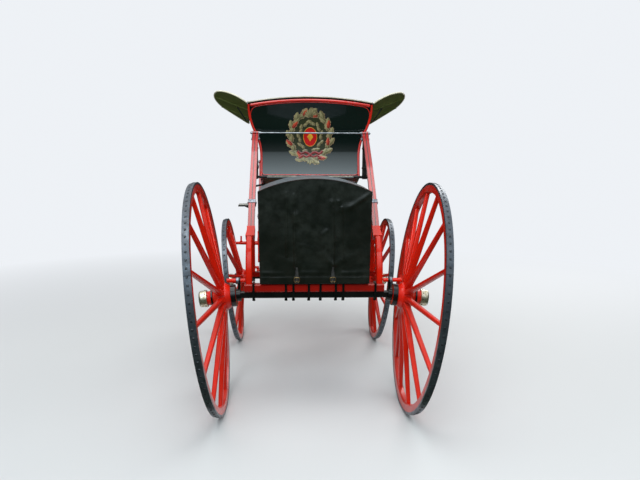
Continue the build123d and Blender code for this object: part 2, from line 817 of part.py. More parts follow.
def body_side():
    """The right-hand side panel, with its sloping arm and the low sweep to step over."""
    rear = back_arc(side_start)
    top = (arm_back[0] + side_start, arm_back[1])
    outline = [
        ThreePointArc(floor_back, floor_mid, floor_end),
        Line(floor_end, toe_end),
        Line(toe_end, (toe_end[0] - 20, toe_end[1] + 26)),
        ThreePointArc((toe_end[0] - 20, toe_end[1] + 26), sill_front, sill_back),
        ThreePointArc(sill_back, (arm_foot[0] + 26, (sill_back[1] + arm_foot[1]) / 2 - 19), arm_foot),
        ThreePointArc(arm_foot, (arm_foot[0] - 24, (arm_foot[1] + arm_front[1]) / 2 + 29), arm_front),
        Line(arm_front, top),
        Line(top, (rear_limit, top[1])),
        Line((rear_limit, top[1]), (rear_limit, floor_back[1])),
        Line((rear_limit, floor_back[1]), floor_back),
    ]
    middle = (body_low_half + body_top_half) / 2
    plate = side_slab(middle, 400, *outline) & flared_wall(0, side_wall, rear_limit - 90, toe_end[0] - 700)
    return plate - back_slab(-400, side_start)


def floor_arc(lift):
    """The floor's curve in the side view, raised by lift."""
    return ThreePointArc(*[(y, z + lift) for y, z in (floor_back, floor_mid, floor_end)])


def floor_z(y):
    """The height of the floor's underside at y."""
    (y1, z1), (y2, z2), (y3, z3) = floor_back, floor_mid, floor_end
    a, b = y2 - y1, z2 - z1
    c, d = y3 - y1, z3 - z1
    e, f = (a * a + b * b) / 2, (c * c + d * d) / 2
    cross = a * d - b * c
    mid_y, mid_z = (d * e - b * f) / cross, (a * f - c * e) / cross
    return z1 + mid_z - sqrt(mid_y**2 + mid_z**2 - (y - y1 - mid_y) ** 2)


def body_floor():
    """The rockered floor between the side panels."""
    under, over = floor_arc(0), floor_arc(floor_t)
    width = 2 * (body_low_half - side_wall - seat_gap)
    solid = side_slab(0, width, under, Line(under @ 1, over @ 1), over, Line(over @ 0, under @ 0))
    return solid - back_slab(-400, side_start)


def toe_board():
    """The sloping board that the feet rest against, between the side panels."""
    (y0, z0), (y1, z1) = floor_end, toe_end
    width = 2 * (body_low_half - side_wall - seat_gap)
    y0 = y0 + seat_gap
    outline = Polyline((y0, z0), (y1, z1), (y1 - 20, z1 + 26), (y0, z0 + 28), close=True)
    return side_slab(0, width, outline)


def seat_board():
    """The seat board and the riser below its front edge."""
    half = body_low_half - side_wall - seat_gap
    riser_low = floor_arc(floor_t + seat_gap)
    below = floor_low - 140
    board = block((-half, half), (back_low[0], seat_front), (seat_z, seat_z + seat_t))
    board = board - back_slab(-400, side_start)
    riser = block((-half, half), (seat_front - seat_t, seat_front), (floor_low - 40, seat_z))
    under = side_slab(
        0,
        3 * half,
        riser_low,
        Line(riser_low @ 1, (floor_end[0], below)),
        Line((floor_end[0], below), (floor_back[0], below)),
        Line((floor_back[0], below), riser_low @ 0),
    )
    return board + (riser - under)


def seat_cushion():
    """A flat seat cushion, kept clear of the panels round it."""
    low = seat_z + seat_t + seat_gap
    half = body_low_half - side_wall - 4
    pad = block((-half, half), (back_mid[0] + back_wall + 10, seat_front + 6), (low, low + cushion_t))
    return fillet(pad.edges(), 22)


def squab_low():
    """The height of the backrest's lower edge, just over the cushion."""
    return seat_z + seat_t + cushion_t + 4


def back_squab():
    """The padded backrest that lines the back panel above the cushion."""
    view = body_face(side_wall + side_squab_t + 6, floor_low, drop=26)
    shape = back_slab(back_wall + seat_gap, back_wall + squab_t) & along_y(view, back_top[0] - 200, 600)
    above = squab_low()
    return shape & block((-700, 700), (back_top[0] - 200, back_top[0] + 400), (above, above + 900))


def side_squab():
    """A thin pad inside the right arm, ahead of the backrest."""
    pad = flared_wall(side_wall + seat_gap, side_squab_t, arm_back[0] - 100, 900)
    fall = (arm_front[1] - arm_back[1]) / (arm_front[0] - arm_back[0])
    start, end = arm_back[0], arm_front[0] - 8
    top = [arm_back[1] + (y - arm_back[0]) * fall - 18 for y in (start, end)]
    keep = Polyline((start, squab_low()), (end, squab_low()), (end, top[1]), (start, top[0]), close=True)
    middle = (body_low_half + body_top_half) / 2
    return (pad & side_slab(middle, 400, keep)) - back_slab(-400, back_wall + squab_t + 4)


def dash():
    """The leather dash, bowed forwards a little, that rises from the end of the toe board."""
    y0, z0 = toe_end[0] + seat_gap, toe_end[1]
    middle, top = z0 + dash_h / 2, z0 + dash_h
    mid_y, top_y = y0 + dash_lean / 2 + dash_bow, y0 + dash_lean
    front = ThreePointArc((y0 + dash_t, z0), (mid_y + dash_t, middle), (top_y + dash_t, top))
    rear = ThreePointArc((top_y, top), (mid_y, middle), (y0, z0))
    foot = Line((y0, z0), (y0 + dash_t, z0))
    plate = side_slab(0, 2 * dash_half, front, Line(front @ 1, rear @ 0), rear, foot)
    corners = plate.edges().filter_by(Axis.Y).sort_by(Axis.Z)[-2:]
    return fillet(corners, dash_corner)


def arm_z(y):
    """The height of the arm's top edge at y."""
    return arm_back[1] + (y - arm_back[0]) * (arm_front[1] - arm_back[1]) / (arm_front[0] - arm_back[0])


def wing():
    """The right-hand splash wing: a half oval leaf that flares out and up from the arm."""
    start = Vector(flare_x(arm_back[1] - wing_drop), arm_back[0], arm_back[1] - wing_drop)
    run = arm_front[0] - arm_back[0]
    along = Vector(0, run, arm_front[1] - arm_back[1]).normalized()
    rise = radians(wing_rise)
    out = Vector(cos(rise), 0, sin(rise))
    out = (out - along * out.dot(along)).normalized()
    plane = Plane(origin=start, x_dir=along, z_dir=along.cross(out))
    n, reach, root = wing_length, wing_reach, 40.0
    outline = [
        Line((n, -root), (n, 24)),
        ThreePointArc((n, 24), (n * 0.87, reach * 0.4), (n * 0.75, reach * 0.68)),
        ThreePointArc((n * 0.75, reach * 0.68), (n * 0.62, reach * 0.88), (n * 0.36, reach)),
        ThreePointArc((n * 0.36, reach), (n * 0.16, reach * 0.96), (0, reach * 0.83)),
        ThreePointArc((0, reach * 0.83), (-n * 0.11, reach * 0.48), (4, 10)),
        Line((4, 10), (4, -root)),
        Line((4, -root), (n, -root)),
    ]
    plate = extrude(plane * make_face(Curve() + outline), wing_t / 2, both=True)
    shell = flared_wall(-seat_gap, side_wall + 60, arm_back[0] - 300, 2 * run)
    outside = plate - shell
    return max(outside.solids(), key=lambda s: s.volume)


def wing_stay():
    """The bent iron that props the right wing from the side panel."""
    y = arm_back[0] + 0.3 * wing_length
    edge = arm_z(y) - wing_drop
    foot_z = edge - 78
    side = flare_x(foot_z)
    rise = radians(wing_rise)
    foot = (side - 6, y, foot_z)
    knee = (side + 34, y, foot_z - 4)
    under = wing_t / cos(rise) + stay_r - 1
    tip = (flare_x(edge) + stay_reach, y, edge + stay_reach * tan(rise) - under)
    path = FilletPolyline(foot, knee, tip, radius=14)
    stay = sweep(Plane(origin=path @ 0, z_dir=path % 0) * Circle(stay_r), path)
    return stay - flared_wall(-seat_gap, side_wall, y - 50, 100)


def body_iron():
    """The right-hand iron under the floor, with a roller for a brace at each end."""
    x = body_low_half - side_wall - body_iron_w / 2
    under, low = floor_arc(-seat_gap), floor_arc(-seat_gap - body_iron_t)
    band = side_slab(x, body_iron_w, under, Line(under @ 1, low @ 1), low, Line(low @ 0, under @ 0))
    hind_y, fore_y, fore_z = hind_spring["head"][0], fore_spring["head"][0], fore_brace_z
    top, bottom = under @ 0, low @ 0
    tail = Polyline(
        (top.X, top.Y),
        (back_low[0] - 6, top.Y),
        (hind_y + 4, hind_brace_z + 9),
        (hind_y - 8, hind_brace_z - 6),
        (back_low[0] - 14, bottom.Y),
        (bottom.X, bottom.Y),
        close=True,
    )
    top, bottom = under @ 1, low @ 1
    horn = Polyline(
        (top.X, top.Y), (fore_y, fore_z + 8), (fore_y + 8, fore_z - 8), (bottom.X, bottom.Y), close=True
    )
    solid = band + side_slab(x, body_iron_w, tail) + side_slab(x, body_iron_w, horn)
    end = spring_x + brace_w / 2 + 8
    for y, z in ((hind_y, hind_brace_z), (fore_y, fore_z)):
        solid = solid + rod_x((x - body_iron_w / 2, end), y, z, pin_r)
    return solid


def step():
    """The near side step: a tread plate on a bent iron below the side panel."""
    x, y = -body_low_half - step_place[0], step_place[1]
    top_z, tread_z = floor_z(y) - body_iron_t - 2 * seat_gap - step_arm_r, floor_low - step_drop
    tread = Pos(x, y, tread_z) * Box(*step_size)
    path = FilletPolyline(
        (side_wall + 18 - body_low_half, y, top_z),
        (-body_low_half - step_neck[0], y, top_z - 20),
        (-body_low_half - step_neck[0], y, tread_z - step_neck[1]),
        (x + 10, y, tread_z - 4),
        radius=20,
    )
    arm = sweep(Plane(origin=path @ 0, z_dir=path % 0) * Circle(step_arm_r), path)
    return tread + arm


# Fore carriage
def upright(r, low, high, x=0.0, y=wheelbase):
    """A round upright piece from z = low to high."""
    return Pos(x, y, low) * Cylinder(r, high - low, align=(Align.CENTER, Align.CENTER, Align.MIN))


def bolt_hole():
    """The perch bolt's hole, through everything it passes."""
    return upright(bolt_r + running_gap, 0, transom_high + 100)


def perch_bolt():
    """The bolt that the fore carriage turns about, with its head above and its nut below."""
    low = fore_low - fore["axle_h"]
    head = upright(26, transom_high + seat_gap, transom_high + 14)
    nut = upright(26, low - 24, low - seat_gap)
    return upright(bolt_r, low - 34, transom_high + 10) + head + nut


def futchells():
    """Two timbers through the fore carriage with a sway bar behind and horns at the front."""
    low, high = fore_high + seat_gap, plates_low - seat_gap
    y0 = wheelbase
    outline = Polyline(
        (150, y0 - 300),
        (150, y0 - 60),
        (104, y0 + 420),
        (60, y0 + 540),
        (60, splinter_y + 6),
        (104, splinter_y + 6),
        (104, y0 + 570),
        (150, y0 + 430),
        (200, y0 - 60),
        (200, y0 - 300),
        close=True,
    )
    arm = Pos(0, 0, low) * extrude(make_face(outline), high - low)
    horn = block((60, 104), (splinter_y - 52, splinter_y + 6), (high - 1, splinter_z - splinter_r - seat_gap))
    pair = both_sides(arm + horn)
    return pair[0] + pair[1] + block((-232, 232), (y0 - 300, y0 - 252), (low, high))


def splinter_top(x):
    """The splinter bar's radius at x."""
    past = max(0.0, abs(x) - (splinter_half - splinter_taper))
    return splinter_r - (splinter_r - splinter_tip_r) * past / splinter_taper


def splinter_bar():
    """The round tapered bar that the traces pull on, with its pins standing up."""
    shoulder = splinter_half - splinter_taper
    half = turned(
        0,
        Line((0, 0), (0, splinter_r)),
        Line((0, splinter_r), (shoulder, splinter_r)),
        Line((shoulder, splinter_r), (splinter_half, splinter_tip_r)),
        Line((splinter_half, splinter_tip_r), (splinter_half, 0)),
        Line((splinter_half, 0), (0, 0)),
    )
    bar = Pos(0, splinter_y, splinter_z) * (half + mirror(half, about=Plane.YZ))
    for x in trace_places:
        top = splinter_z + splinter_top(x)
        bar = bar + upright(trace_pin_r + trace_seat_w, splinter_z, top + trace_seat_h, x, splinter_y)
        bar = bar + upright(trace_pin_r, splinter_z, top + trace_seat_h + trace_pin_h, x, splinter_y)
    return bar


def wheel_plate(low):
    """One flat iron ring of the turntable, with a bar across it for the perch bolt."""
    ring = upright(plate_r, low, low + plate_t) - upright(plate_r - plate_w, low - 1, low + plate_t + 1)
    half = plate_bar_w / 2
    bar = block((20 - plate_r, plate_r - 20), (wheelbase - half, wheelbase + half), (low, low + plate_t))
    return ring + bar - bolt_hole()


def transom():
    """The upper fore bed that the perch and the fore posts stand on."""
    along = (wheelbase - transom_d / 2, wheelbase + transom_d / 2)
    beam = block((-transom_half, transom_half), along, (transom_low, transom_high))
    return chamfer(beam.edges().filter_by(Axis.X), 8) - bolt_hole()


def save_carriage():
    """Saves the nodes from the hind axle to the fore transom."""
    save("hind_axle", axle(hind))
    save("hind_bed", bed(hind, hind_low))
    save("hind_bars", *bars(hind))
    save("hind_clips", *clips(hind, hind_low, hind_clip_places))
    save("perch", perch())
    save("perch_wings", *both_sides(perch_wing()))
    save("trunk_rails", *trunk_rails())
    save("trunk_case", trunk_case())
    save("trunk_flap", trunk_flap())
    save("trunk_straps", *trunk_straps())
    save("transom", transom())


def save_springs():
    """Saves the posts, the whip springs and what hangs from their heads."""
    pairs = [(row, post_base[end]) for end, row in spring_rows.items()]
    save("spring_posts", *both_sides(*[post(row, base) for row, base in pairs]))
    save("spring_feet", *both_sides(*[spring_shoe(row, base) for row, base in pairs]))
    for end, row in spring_rows.items():
        save(f"{end}_springs", *both_sides(whip_spring(row, post_base[end])))
    save("spring_stays", *both_sides(spring_stay(*pairs[0])))
    save("shackles", *both_sides(*[shackle(row["head"]) for row, base in pairs]))
    half_rod = head_bolt(hind_spring, hind_collar_w, 0)
    fore_bolts = both_sides(head_bolt(fore_spring, fore_collar_w))
    save("head_rods", half_rod + mirror(half_rod, about=Plane.YZ), *fore_bolts)
    straps = []
    for row, low in ((hind_spring, hind_brace_z), (fore_spring, fore_brace_z)):
        y, z = row["head"]
        straps.append(brace(y, z - shackle_drop, low))
    save("braces", *both_sides(*straps))


def save_body():
    """Saves the hung body."""
    save("body_back", body_back())
    save("body_sides", *both_sides(body_side()))
    save("body_floor", body_floor())
    save("toe_board", toe_board())
    save("seat_board", seat_board())
    save("seat_cushion", seat_cushion())
    save("squabs", back_squab(), *both_sides(side_squab()))
    save("dash", dash())
    save("wings", *both_sides(wing()))
    save("wing_stays", *both_sides(wing_stay()))
    save("body_irons", *both_sides(body_iron()))
    save("step", step())


def save_fore_carriage():
    """Saves what steers: the fore axle, its bed and what is fixed to it."""
    save("fore_axle", axle(fore) - bolt_hole())
    save("fore_bed", bed(fore, fore_low) - bolt_hole())
    save("fore_bars", *bars(fore))
    save("fore_clips", *clips(fore, fore_low, fore_clip_places))
    save("futchells", futchells())
    save("splinter_bar", splinter_bar())
    save("plate_lower", wheel_plate(plates_low))
    save("plate_upper", wheel_plate(plates_low + plate_t + seat_gap))
    save("perch_bolt", perch_bolt())


if __name__ == "__main__":
    os.makedirs("parts", exist_ok=True)
    save_wheels("hind")
    save_wheels("fore")
    save_carriage()
    save_springs()
    save_body()
    save_fore_carriage()
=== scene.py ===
# %% [markdown]
# # A high perch phaeton in Blender
# The CAD model gives every rigid piece its shape and place. This script adds what CAD leaves
# out: paint, leather, cloth, nails, mouldings and painted lines. Every number is in metres, in
# the CAD model's own frame: +Y is forwards, +X is the carriage's right and +Z is up.

# %% Load the frame
from math import atan2, copysign, cos, dist, exp, hypot, pi, radians, sin, sqrt

import bmesh
import bpy
from mathutils import Matrix, Vector, noise
from mathutils.bvhtree import BVHTree


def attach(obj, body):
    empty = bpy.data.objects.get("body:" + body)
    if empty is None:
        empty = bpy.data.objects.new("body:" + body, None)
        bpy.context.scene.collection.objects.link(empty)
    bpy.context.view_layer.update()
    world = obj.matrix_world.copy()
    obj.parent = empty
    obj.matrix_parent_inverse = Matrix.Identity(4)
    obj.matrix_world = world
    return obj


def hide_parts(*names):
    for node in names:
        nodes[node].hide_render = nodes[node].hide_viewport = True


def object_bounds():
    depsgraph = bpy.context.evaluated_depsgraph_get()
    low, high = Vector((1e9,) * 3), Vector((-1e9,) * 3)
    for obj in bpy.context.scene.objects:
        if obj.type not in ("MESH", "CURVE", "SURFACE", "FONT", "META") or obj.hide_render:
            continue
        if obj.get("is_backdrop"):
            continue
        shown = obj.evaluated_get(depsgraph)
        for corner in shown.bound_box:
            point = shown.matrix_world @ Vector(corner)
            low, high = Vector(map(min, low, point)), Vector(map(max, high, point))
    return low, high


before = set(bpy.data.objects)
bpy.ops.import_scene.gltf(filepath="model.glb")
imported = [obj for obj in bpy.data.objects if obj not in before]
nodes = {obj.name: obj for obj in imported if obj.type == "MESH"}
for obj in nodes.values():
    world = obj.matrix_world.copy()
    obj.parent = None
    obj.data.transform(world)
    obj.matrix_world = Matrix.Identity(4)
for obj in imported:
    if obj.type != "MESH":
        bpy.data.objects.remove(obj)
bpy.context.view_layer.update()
scene = bpy.context.scene
sides = {"right": 1, "left": -1}


# %% Objects and meshes
def placed(name, data):
    """A new object in the scene."""
    made = bpy.data.objects.new(name, data)
    scene.collection.objects.link(made)
    return made


def mesh_of(shape, name):
    """A bmesh as a mesh."""
    made = bpy.data.meshes.new(name)
    shape.to_mesh(made)
    shape.free()
    return made


def evaluated(carrier):
    """The plain mesh of an object with its modifiers applied. The object itself goes."""
    bpy.context.view_layer.update()
    made = bpy.data.meshes.new_from_object(carrier.evaluated_get(bpy.context.evaluated_depsgraph_get()))
    bpy.data.objects.remove(carrier)
    return made


# %% [markdown]
# ## The camera
# The view is a standing person's: behind the carriage, a little to its left, and looking
# slightly down. A real camera is never quite level, so it is also rolled by a third of a
# degree. Turning the camera by a product of plain rotations keeps each of these angles readable.

# %% Camera
eye = Vector((-0.189, -5.6246, 1.953))
turned_right, looking_down, rolled = 2.71, 8.24, 0.29  # degrees

camera_data = bpy.data.cameras.new("view")
camera_data.sensor_width = 36.0
camera_data.lens = 37.96
camera = placed("view", camera_data)
camera.matrix_world = Matrix.Translation(eye)
for angle, axis in ((-turned_right, "Z"), (90 - looking_down, "X"), (rolled, "Z")):
    camera.matrix_world = camera.matrix_world @ Matrix.Rotation(radians(angle), 4, axis)
scene.camera = camera
scene.view_settings.view_transform = "Standard"
print("Eye height:", eye.z, "m, lens:", camera_data.lens, "mm")

# %% [markdown]
# ## Node trees
# A material here is a tree of shader nodes, and typing each link by hand hides the idea. A
# small class makes a tree read like a formula: each method adds a node or two and gives the
# outlet that the next one takes.


# %% Node trees
class Tree:
    """A node tree, built by methods that each give an outlet."""

    def __init__(self, tree):
        self.tree = tree

    def add(self, kind, inputs=None, **settings):
        """Adds a node with its settings, sets or links its inputs, and gives its outputs."""
        made = self.tree.nodes.new(kind)
        for key, value in settings.items():
            setattr(made, key, value)
        for key, value in (inputs or {}).items():
            if isinstance(value, bpy.types.NodeSocket):
                self.tree.links.new(value, made.inputs[key])
            else:
                made.inputs[key].default_value = value
        return made.outputs

    def maths(self, operation, a, b=0.0, c=0.0):
        """A sum of up to three numbers or outlets."""
        return self.add("ShaderNodeMath", {0: a, 1: b, 2: c}, operation=operation)[0]

    def times(self, a, b):
        """Two numbers or outlets multiplied."""
        return self.maths("MULTIPLY", a, b)

    def vector(self, operation, a, b=None, **more):
        """A Vector Math node's outputs."""
        inputs = {0: a} if b is None else {0: a, 1: b}
        return self.add("ShaderNodeVectorMath", inputs | more.pop("inputs", {}), operation=operation)

    def mixed(self, share, a, b):
        """Colour a turning into colour b as share goes from 0 to 1."""
        return self.add("ShaderNodeMix", {0: share, 6: a, 7: b}, data_type="RGBA")[2]

    def ramp(self, value, low, high, start=0.0, end=1.0):
        """Value stretched so that low gives start and high gives end, and held there beyond."""
        inputs = {0: value, 1: low, 2: high, 3: start, 4: end}
        return self.add("ShaderNodeMapRange", inputs, clamp=True)[0]

    def noise(self, place, scale, detail=2.0, **more):
        """A Noise Texture's outputs."""
        return self.add("ShaderNodeTexNoise", {"Vector": place, "Scale": scale, "Detail": detail} | more)

    def place(self):
        """The point's place on its own object."""
        return self.add("ShaderNodeTexCoord")["Object"]

    def axes(self, vector):
        """A vector's X, Y and Z."""
        return self.add("ShaderNodeSeparateXYZ", {0: vector})

    def facing_up(self):
        """The Z of the surface's normal."""
        return self.axes(self.add("ShaderNodeNewGeometry")["Normal"])["Z"]

    def rays(self, *kinds):
        """1 for light rays of any of these kinds."""
        path = self.add("ShaderNodeLightPath")
        found = path[f"Is {kinds[0]} Ray"]
        for kind in kinds[1:]:
            found = self.maths("MAXIMUM", found, path[f"Is {kind} Ray"])
        return found

    def bump(self, height, depth, strength=1.0):
        """A bumped normal from a height of depth metres."""
        return self.add("ShaderNodeBump", {"Height": height, "Distance": depth, "Strength": strength})[0]

    def use(self, effect, **inputs):
        """Places a shared effect and gives its outputs."""
        return self.add("ShaderNodeGroup", inputs, node_tree=effect.tree)

    def uneven(self, size, detail=3.0):
        """Patches of a size in metres, from 0 to 1."""
        return self.use(uneven, Size=size, Detail=detail)["Share"]

    def dust(self, top):
        """Road dust, from 0 to 1, on what faces up or lies below a height."""
        return self.use(road_dust, Top=top)["Share"]


print("Tree methods:", sorted(name for name in vars(Tree) if not name.startswith("_")))

# %% [markdown]
# ## Light
# Coach paint is judged by what it mirrors, so the light comes from large sources. A wide window
# of light stands behind the camera, where the hollow back panel mirrors it in its lower third.
# A second one hangs overhead, where the sloping springs mirror it along their whole length. A
# third fills the front. The world looks whiter in reflections than it is as a light.


# %% Light
def lamp(name, place, target_z, width, height, watts, tint=(1.0, 1.0, 1.0)):
    """A soft lamp, width by height, that shines from a place to a height on the middle line."""
    data = bpy.data.lights.new(name, "AREA")
    data.shape = "RECTANGLE"
    data.size, data.size_y, data.energy, data.color = width, height, watts, tint
    made = placed(name, data)
    made.location = place
    made.rotation_euler = (Vector((0, 0, target_z)) - Vector(place)).to_track_quat("-Z", "Y").to_euler()
    made.visible_camera = False


lamp("window_behind", (-0.8, -8.0, 5.4), 1.5, 7.0, 4.6, 380, (0.76, 0.92, 1.0))
lamp("sky_above", (-0.6, -1.6, 7.0), 1.5, 6.0, 6.0, 330)
lamp("front_fill", (4.5, 5.5, 4.5), 1.1, 4.0, 4.0, 260)

scene.world = scene.world or bpy.data.worlds.new("sky")
scene.world.use_nodes = True
scene.world.node_tree.nodes.clear()
backdrop = (0.93, 0.96, 1.0, 1.0)
light_strength, seen_extra = 0.5, 0.42  # the world is brighter where it is seen or mirrored
sky = Tree(scene.world.node_tree)
strength = sky.maths("MULTIPLY_ADD", sky.rays("Camera", "Glossy"), seen_extra, light_strength)
shown = sky.add("ShaderNodeBackground", {"Color": backdrop, "Strength": strength})[0]
sky.add("ShaderNodeOutputWorld", {"Surface": shown})

# %% [markdown]
# ## The floor
# A plain pale floor keeps the shadow that shows where the wheels stand. It is a large disc, and
# further out it glows in the backdrop's own colour, so that no horizon shows. Only what is seen
# or mirrored glows: it lights nothing. A dark cloth stands all round, which thins out upwards
# and which only mirrored rays see: it gives the varnish something dark to mirror, as grass and
# trees do outdoors. Both belong to the stage and not to the carriage.

# %% A finish
class Finish(Tree):
    """A material, built round its Principled shader. Names use _ for a space."""

    def __init__(self, name, **plain):
        self.material = bpy.data.materials.new(name)
        self.material.use_nodes = True
        super().__init__(self.material.node_tree)
        self.shader = self.tree.nodes["Principled BSDF"]
        for key, value in plain.items():
            self.shader.inputs[key.replace("_", " ")].default_value = value

    def feed(self, **links):
        """Links outlets to the shader and gives the material."""
        for key, outlet in links.items():
            self.tree.links.new(outlet, self.shader.inputs[key.replace("_", " ")])
        return self.material

    def faded(self, share, a, b):
        """Ends the material in shader a, which turns into shader b."""
        shown = self.add("ShaderNodeMixShader", {0: share, 1: a, 2: b})[0]
        self.tree.links.new(shown, self.tree.nodes["Material Output"].inputs["Surface"])
        return self.material


print("Finish methods:", sorted(name for name in vars(Finish) if not name.startswith("_")))

# %% Floor
floor_r, glow_from, glow_full = 40, 2.4, 7.0
shape = bmesh.new()
bmesh.ops.create_circle(shape, cap_ends=True, segments=64, radius=floor_r)
floor = placed("floor", mesh_of(shape, "floor"))
pale = Finish("pale_floor", Roughness=0.9, Specular_IOR_Level=0.2)
grain = pale.add("ShaderNodeTexNoise", {"Scale": 3.0, "Detail": 6.0})["Fac"]
seen = pale.rays("Camera", "Glossy", "Transmission")
tone = pale.mixed(grain, (0.60, 0.61, 0.61, 1), (0.66, 0.66, 0.65, 1))
pale.feed(Base_Color=pale.mixed(seen, (0.20, 0.20, 0.19, 1), tone))
away = pale.vector("LENGTH", pale.place())["Value"]
glow = pale.add("ShaderNodeEmission", {"Color": backdrop, "Strength": 0.92})[0]
far = pale.times(seen, pale.ramp(away, glow_from, glow_full))
floor.data.materials.append(pale.faded(far, pale.shader.outputs[0], glow))
floor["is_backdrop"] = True

cloth_near, cloth_far, cloth_top, cloth_turns = 1.5, 6.5, 6.0, 48
turns = [2 * pi * k / cloth_turns for k in range(cloth_turns)]
rims = ((cloth_near, 0.01), (cloth_far, 0.01), (cloth_far, cloth_top))
corners = [(r * cos(a), r * sin(a), z) for r, z in rims for a in turns]
walls = []
for j in (0, cloth_turns):
    for k in range(cloth_turns):
        after = j + (k + 1) % cloth_turns
        walls.append((j + k, after, after + cloth_turns, j + k + cloth_turns))
cloth = placed("dark_cloth", bpy.data.meshes.new("dark_cloth"))
cloth.data.from_pydata(corners, [], walls)
cloth.visible_camera = cloth.visible_diffuse = cloth.visible_shadow = False
felt = Finish("dark_felt")
height = felt.axes(felt.place())["Z"]
tone = felt.mixed(felt.ramp(height, 0.05, 0.8), (0.05, 0.075, 0.05, 1), (0.010, 0.018, 0.012, 1))
dark = felt.add("ShaderNodeEmission", {"Color": tone, "Strength": 1.0})[0]
thin = felt.add("ShaderNodeBsdfTransparent")[0]
cloth.data.materials.append(felt.faded(felt.ramp(height, 1.9, 5.6), dark, thin))
cloth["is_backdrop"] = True
print("Floor radius:", floor_r, "m")

# %% [markdown]
# ## Shared effects
# Several finishes share an effect, and a node group builds it once: patches that make a colour
# uneven, road dust that thins out upwards, the grain of leather, and a place on a wheel. The
# last one turns a point in space into three numbers that a wheelwright would use: how far along
# the axle, how far from its middle, and how far round.

# %% An effect
class Effect(Tree):
    """A shader node group that several finishes share, with named inputs and number outputs."""

    def __init__(self, name, inputs, *outputs):
        super().__init__(bpy.data.node_groups.new(name, "ShaderNodeTree"))
        new_socket = self.tree.interface.new_socket
        for key, value in inputs.items():
            kind = "NodeSocketVector" if isinstance(value, tuple) else "NodeSocketFloat"
            new_socket(name=key, in_out="INPUT", socket_type=kind).default_value = value
        for key in outputs:
            new_socket(name=key, in_out="OUTPUT", socket_type="NodeSocketFloat")
        self.given = self.tree.nodes.new("NodeGroupInput").outputs
        self.result = self.tree.nodes.new("NodeGroupOutput").inputs

    def give(self, **results):
        """Links outlets to the group's outputs."""
        for key, outlet in results.items():
            self.tree.links.new(outlet, self.result[key])


print("Effect methods:", sorted(name for name in vars(Effect) if not name.startswith("_")))

# %% Shared effects
uneven = Effect("uneven", {"Size": 0.3, "Detail": 3.0}, "Share")
scale = uneven.maths("DIVIDE", 1.0, uneven.given["Size"])
patches = uneven.noise(uneven.place(), scale, uneven.given["Detail"])["Fac"]
uneven.give(Share=uneven.ramp(patches, 0.3, 0.7))

road_dust = Effect("road_dust", {"Top": 1.0}, "Share")
place = road_dust.place()
share_up = road_dust.maths("DIVIDE", road_dust.axes(place)["Z"], road_dust.given["Top"])
thrown = road_dust.maths("MAXIMUM", road_dust.maths("SUBTRACT", 1.0, share_up), 0.0)
settled = road_dust.ramp(road_dust.facing_up(), 0.2, 1.0, 0.0, 0.5)
spread = road_dust.ramp(road_dust.noise(place, 9.0, 8.0)["Fac"], 0.35, 0.7)
total = road_dust.times(road_dust.maths("ADD", thrown, settled), spread)
road_dust.give(Share=road_dust.maths("MINIMUM", total, 1.0))

leather_grain = Effect("leather_grain", {"Size": 0.003}, "Height", "Share")
place = leather_grain.place()
scale = leather_grain.maths("DIVIDE", 1.0, leather_grain.given["Size"])
bend = leather_grain.noise(place, 40.0)["Color"]
bent = leather_grain.vector("MULTIPLY_ADD", bend, (0.004, 0.004, 0.004), inputs={2: place})[0]
cells = leather_grain.add("ShaderNodeTexVoronoi", {"Vector": bent, "Scale": scale}, feature="SMOOTH_F1")
creases = leather_grain.noise(bent, 22.0, 6.0)["Fac"]
pebble = leather_grain.maths("SUBTRACT", 1.0, cells["Distance"])
leather_grain.give(
    Height=leather_grain.maths("MULTIPLY_ADD", creases, 1.5, pebble),
    Share=leather_grain.ramp(creases, 0.35, 0.65),
)

camber = radians(6.5)
wheel_place = Effect("wheel_place", {"Centre": (0.0, 0.0, 0.0), "Side": 1.0}, "Along", "Radius", "Turn")
at = wheel_place.axes(wheel_place.vector("SUBTRACT", wheel_place.place(), wheel_place.given["Centre"])[0])
out = wheel_place.times(at["X"], wheel_place.given["Side"])
fall = wheel_place.times(at["Z"], -sin(camber))
along = wheel_place.maths("MULTIPLY_ADD", out, cos(camber), fall)
rise = wheel_place.times(at["Z"], cos(camber))
upward = wheel_place.maths("MULTIPLY_ADD", out, sin(camber), rise)
flat = wheel_place.add("ShaderNodeCombineXYZ", {0: upward, 1: at["Y"]})[0]
wheel_place.give(
    Along=along,
    Radius=wheel_place.vector("LENGTH", flat)["Value"],
    Turn=wheel_place.maths("MULTIPLY_ADD", wheel_place.maths("ARCTAN2", at["Y"], upward), 0.5 / pi, 0.5),
)
print("Shared effects:", [g.name for g in bpy.data.node_groups])

# %% [markdown]
# ## Coach paint
# Coach paint is many thin coats under clear varnish, so it shines over a colour that is never
# quite even. The Principled shader's coat is that varnish. Patches vary the colour and the
# gloss a little, a weak bump gives the varnish its ripple, and road dust dulls what is low down
# or faces up. Colours are written as the eye names them, from 0 to 255, and turned into the
# linear values that Blender mixes.


# %% Finishes
def colour(red, green, blue):
    """A colour from 0 to 255 each as Blender's linear values."""
    parts = [v / 255 for v in (red, green, blue)]
    return (*[v / 12.92 if v < 0.04045 else ((v + 0.055) / 1.055) ** 2.4 for v in parts], 1.0)


def deeper(tone):
    """The shade that uneven paint turns to."""
    return tuple(v * 0.7 for v in tone[:3]) + (1.0,)


white, dust_colour = (1.0, 1.0, 1.0, 1.0), colour(150, 142, 126)


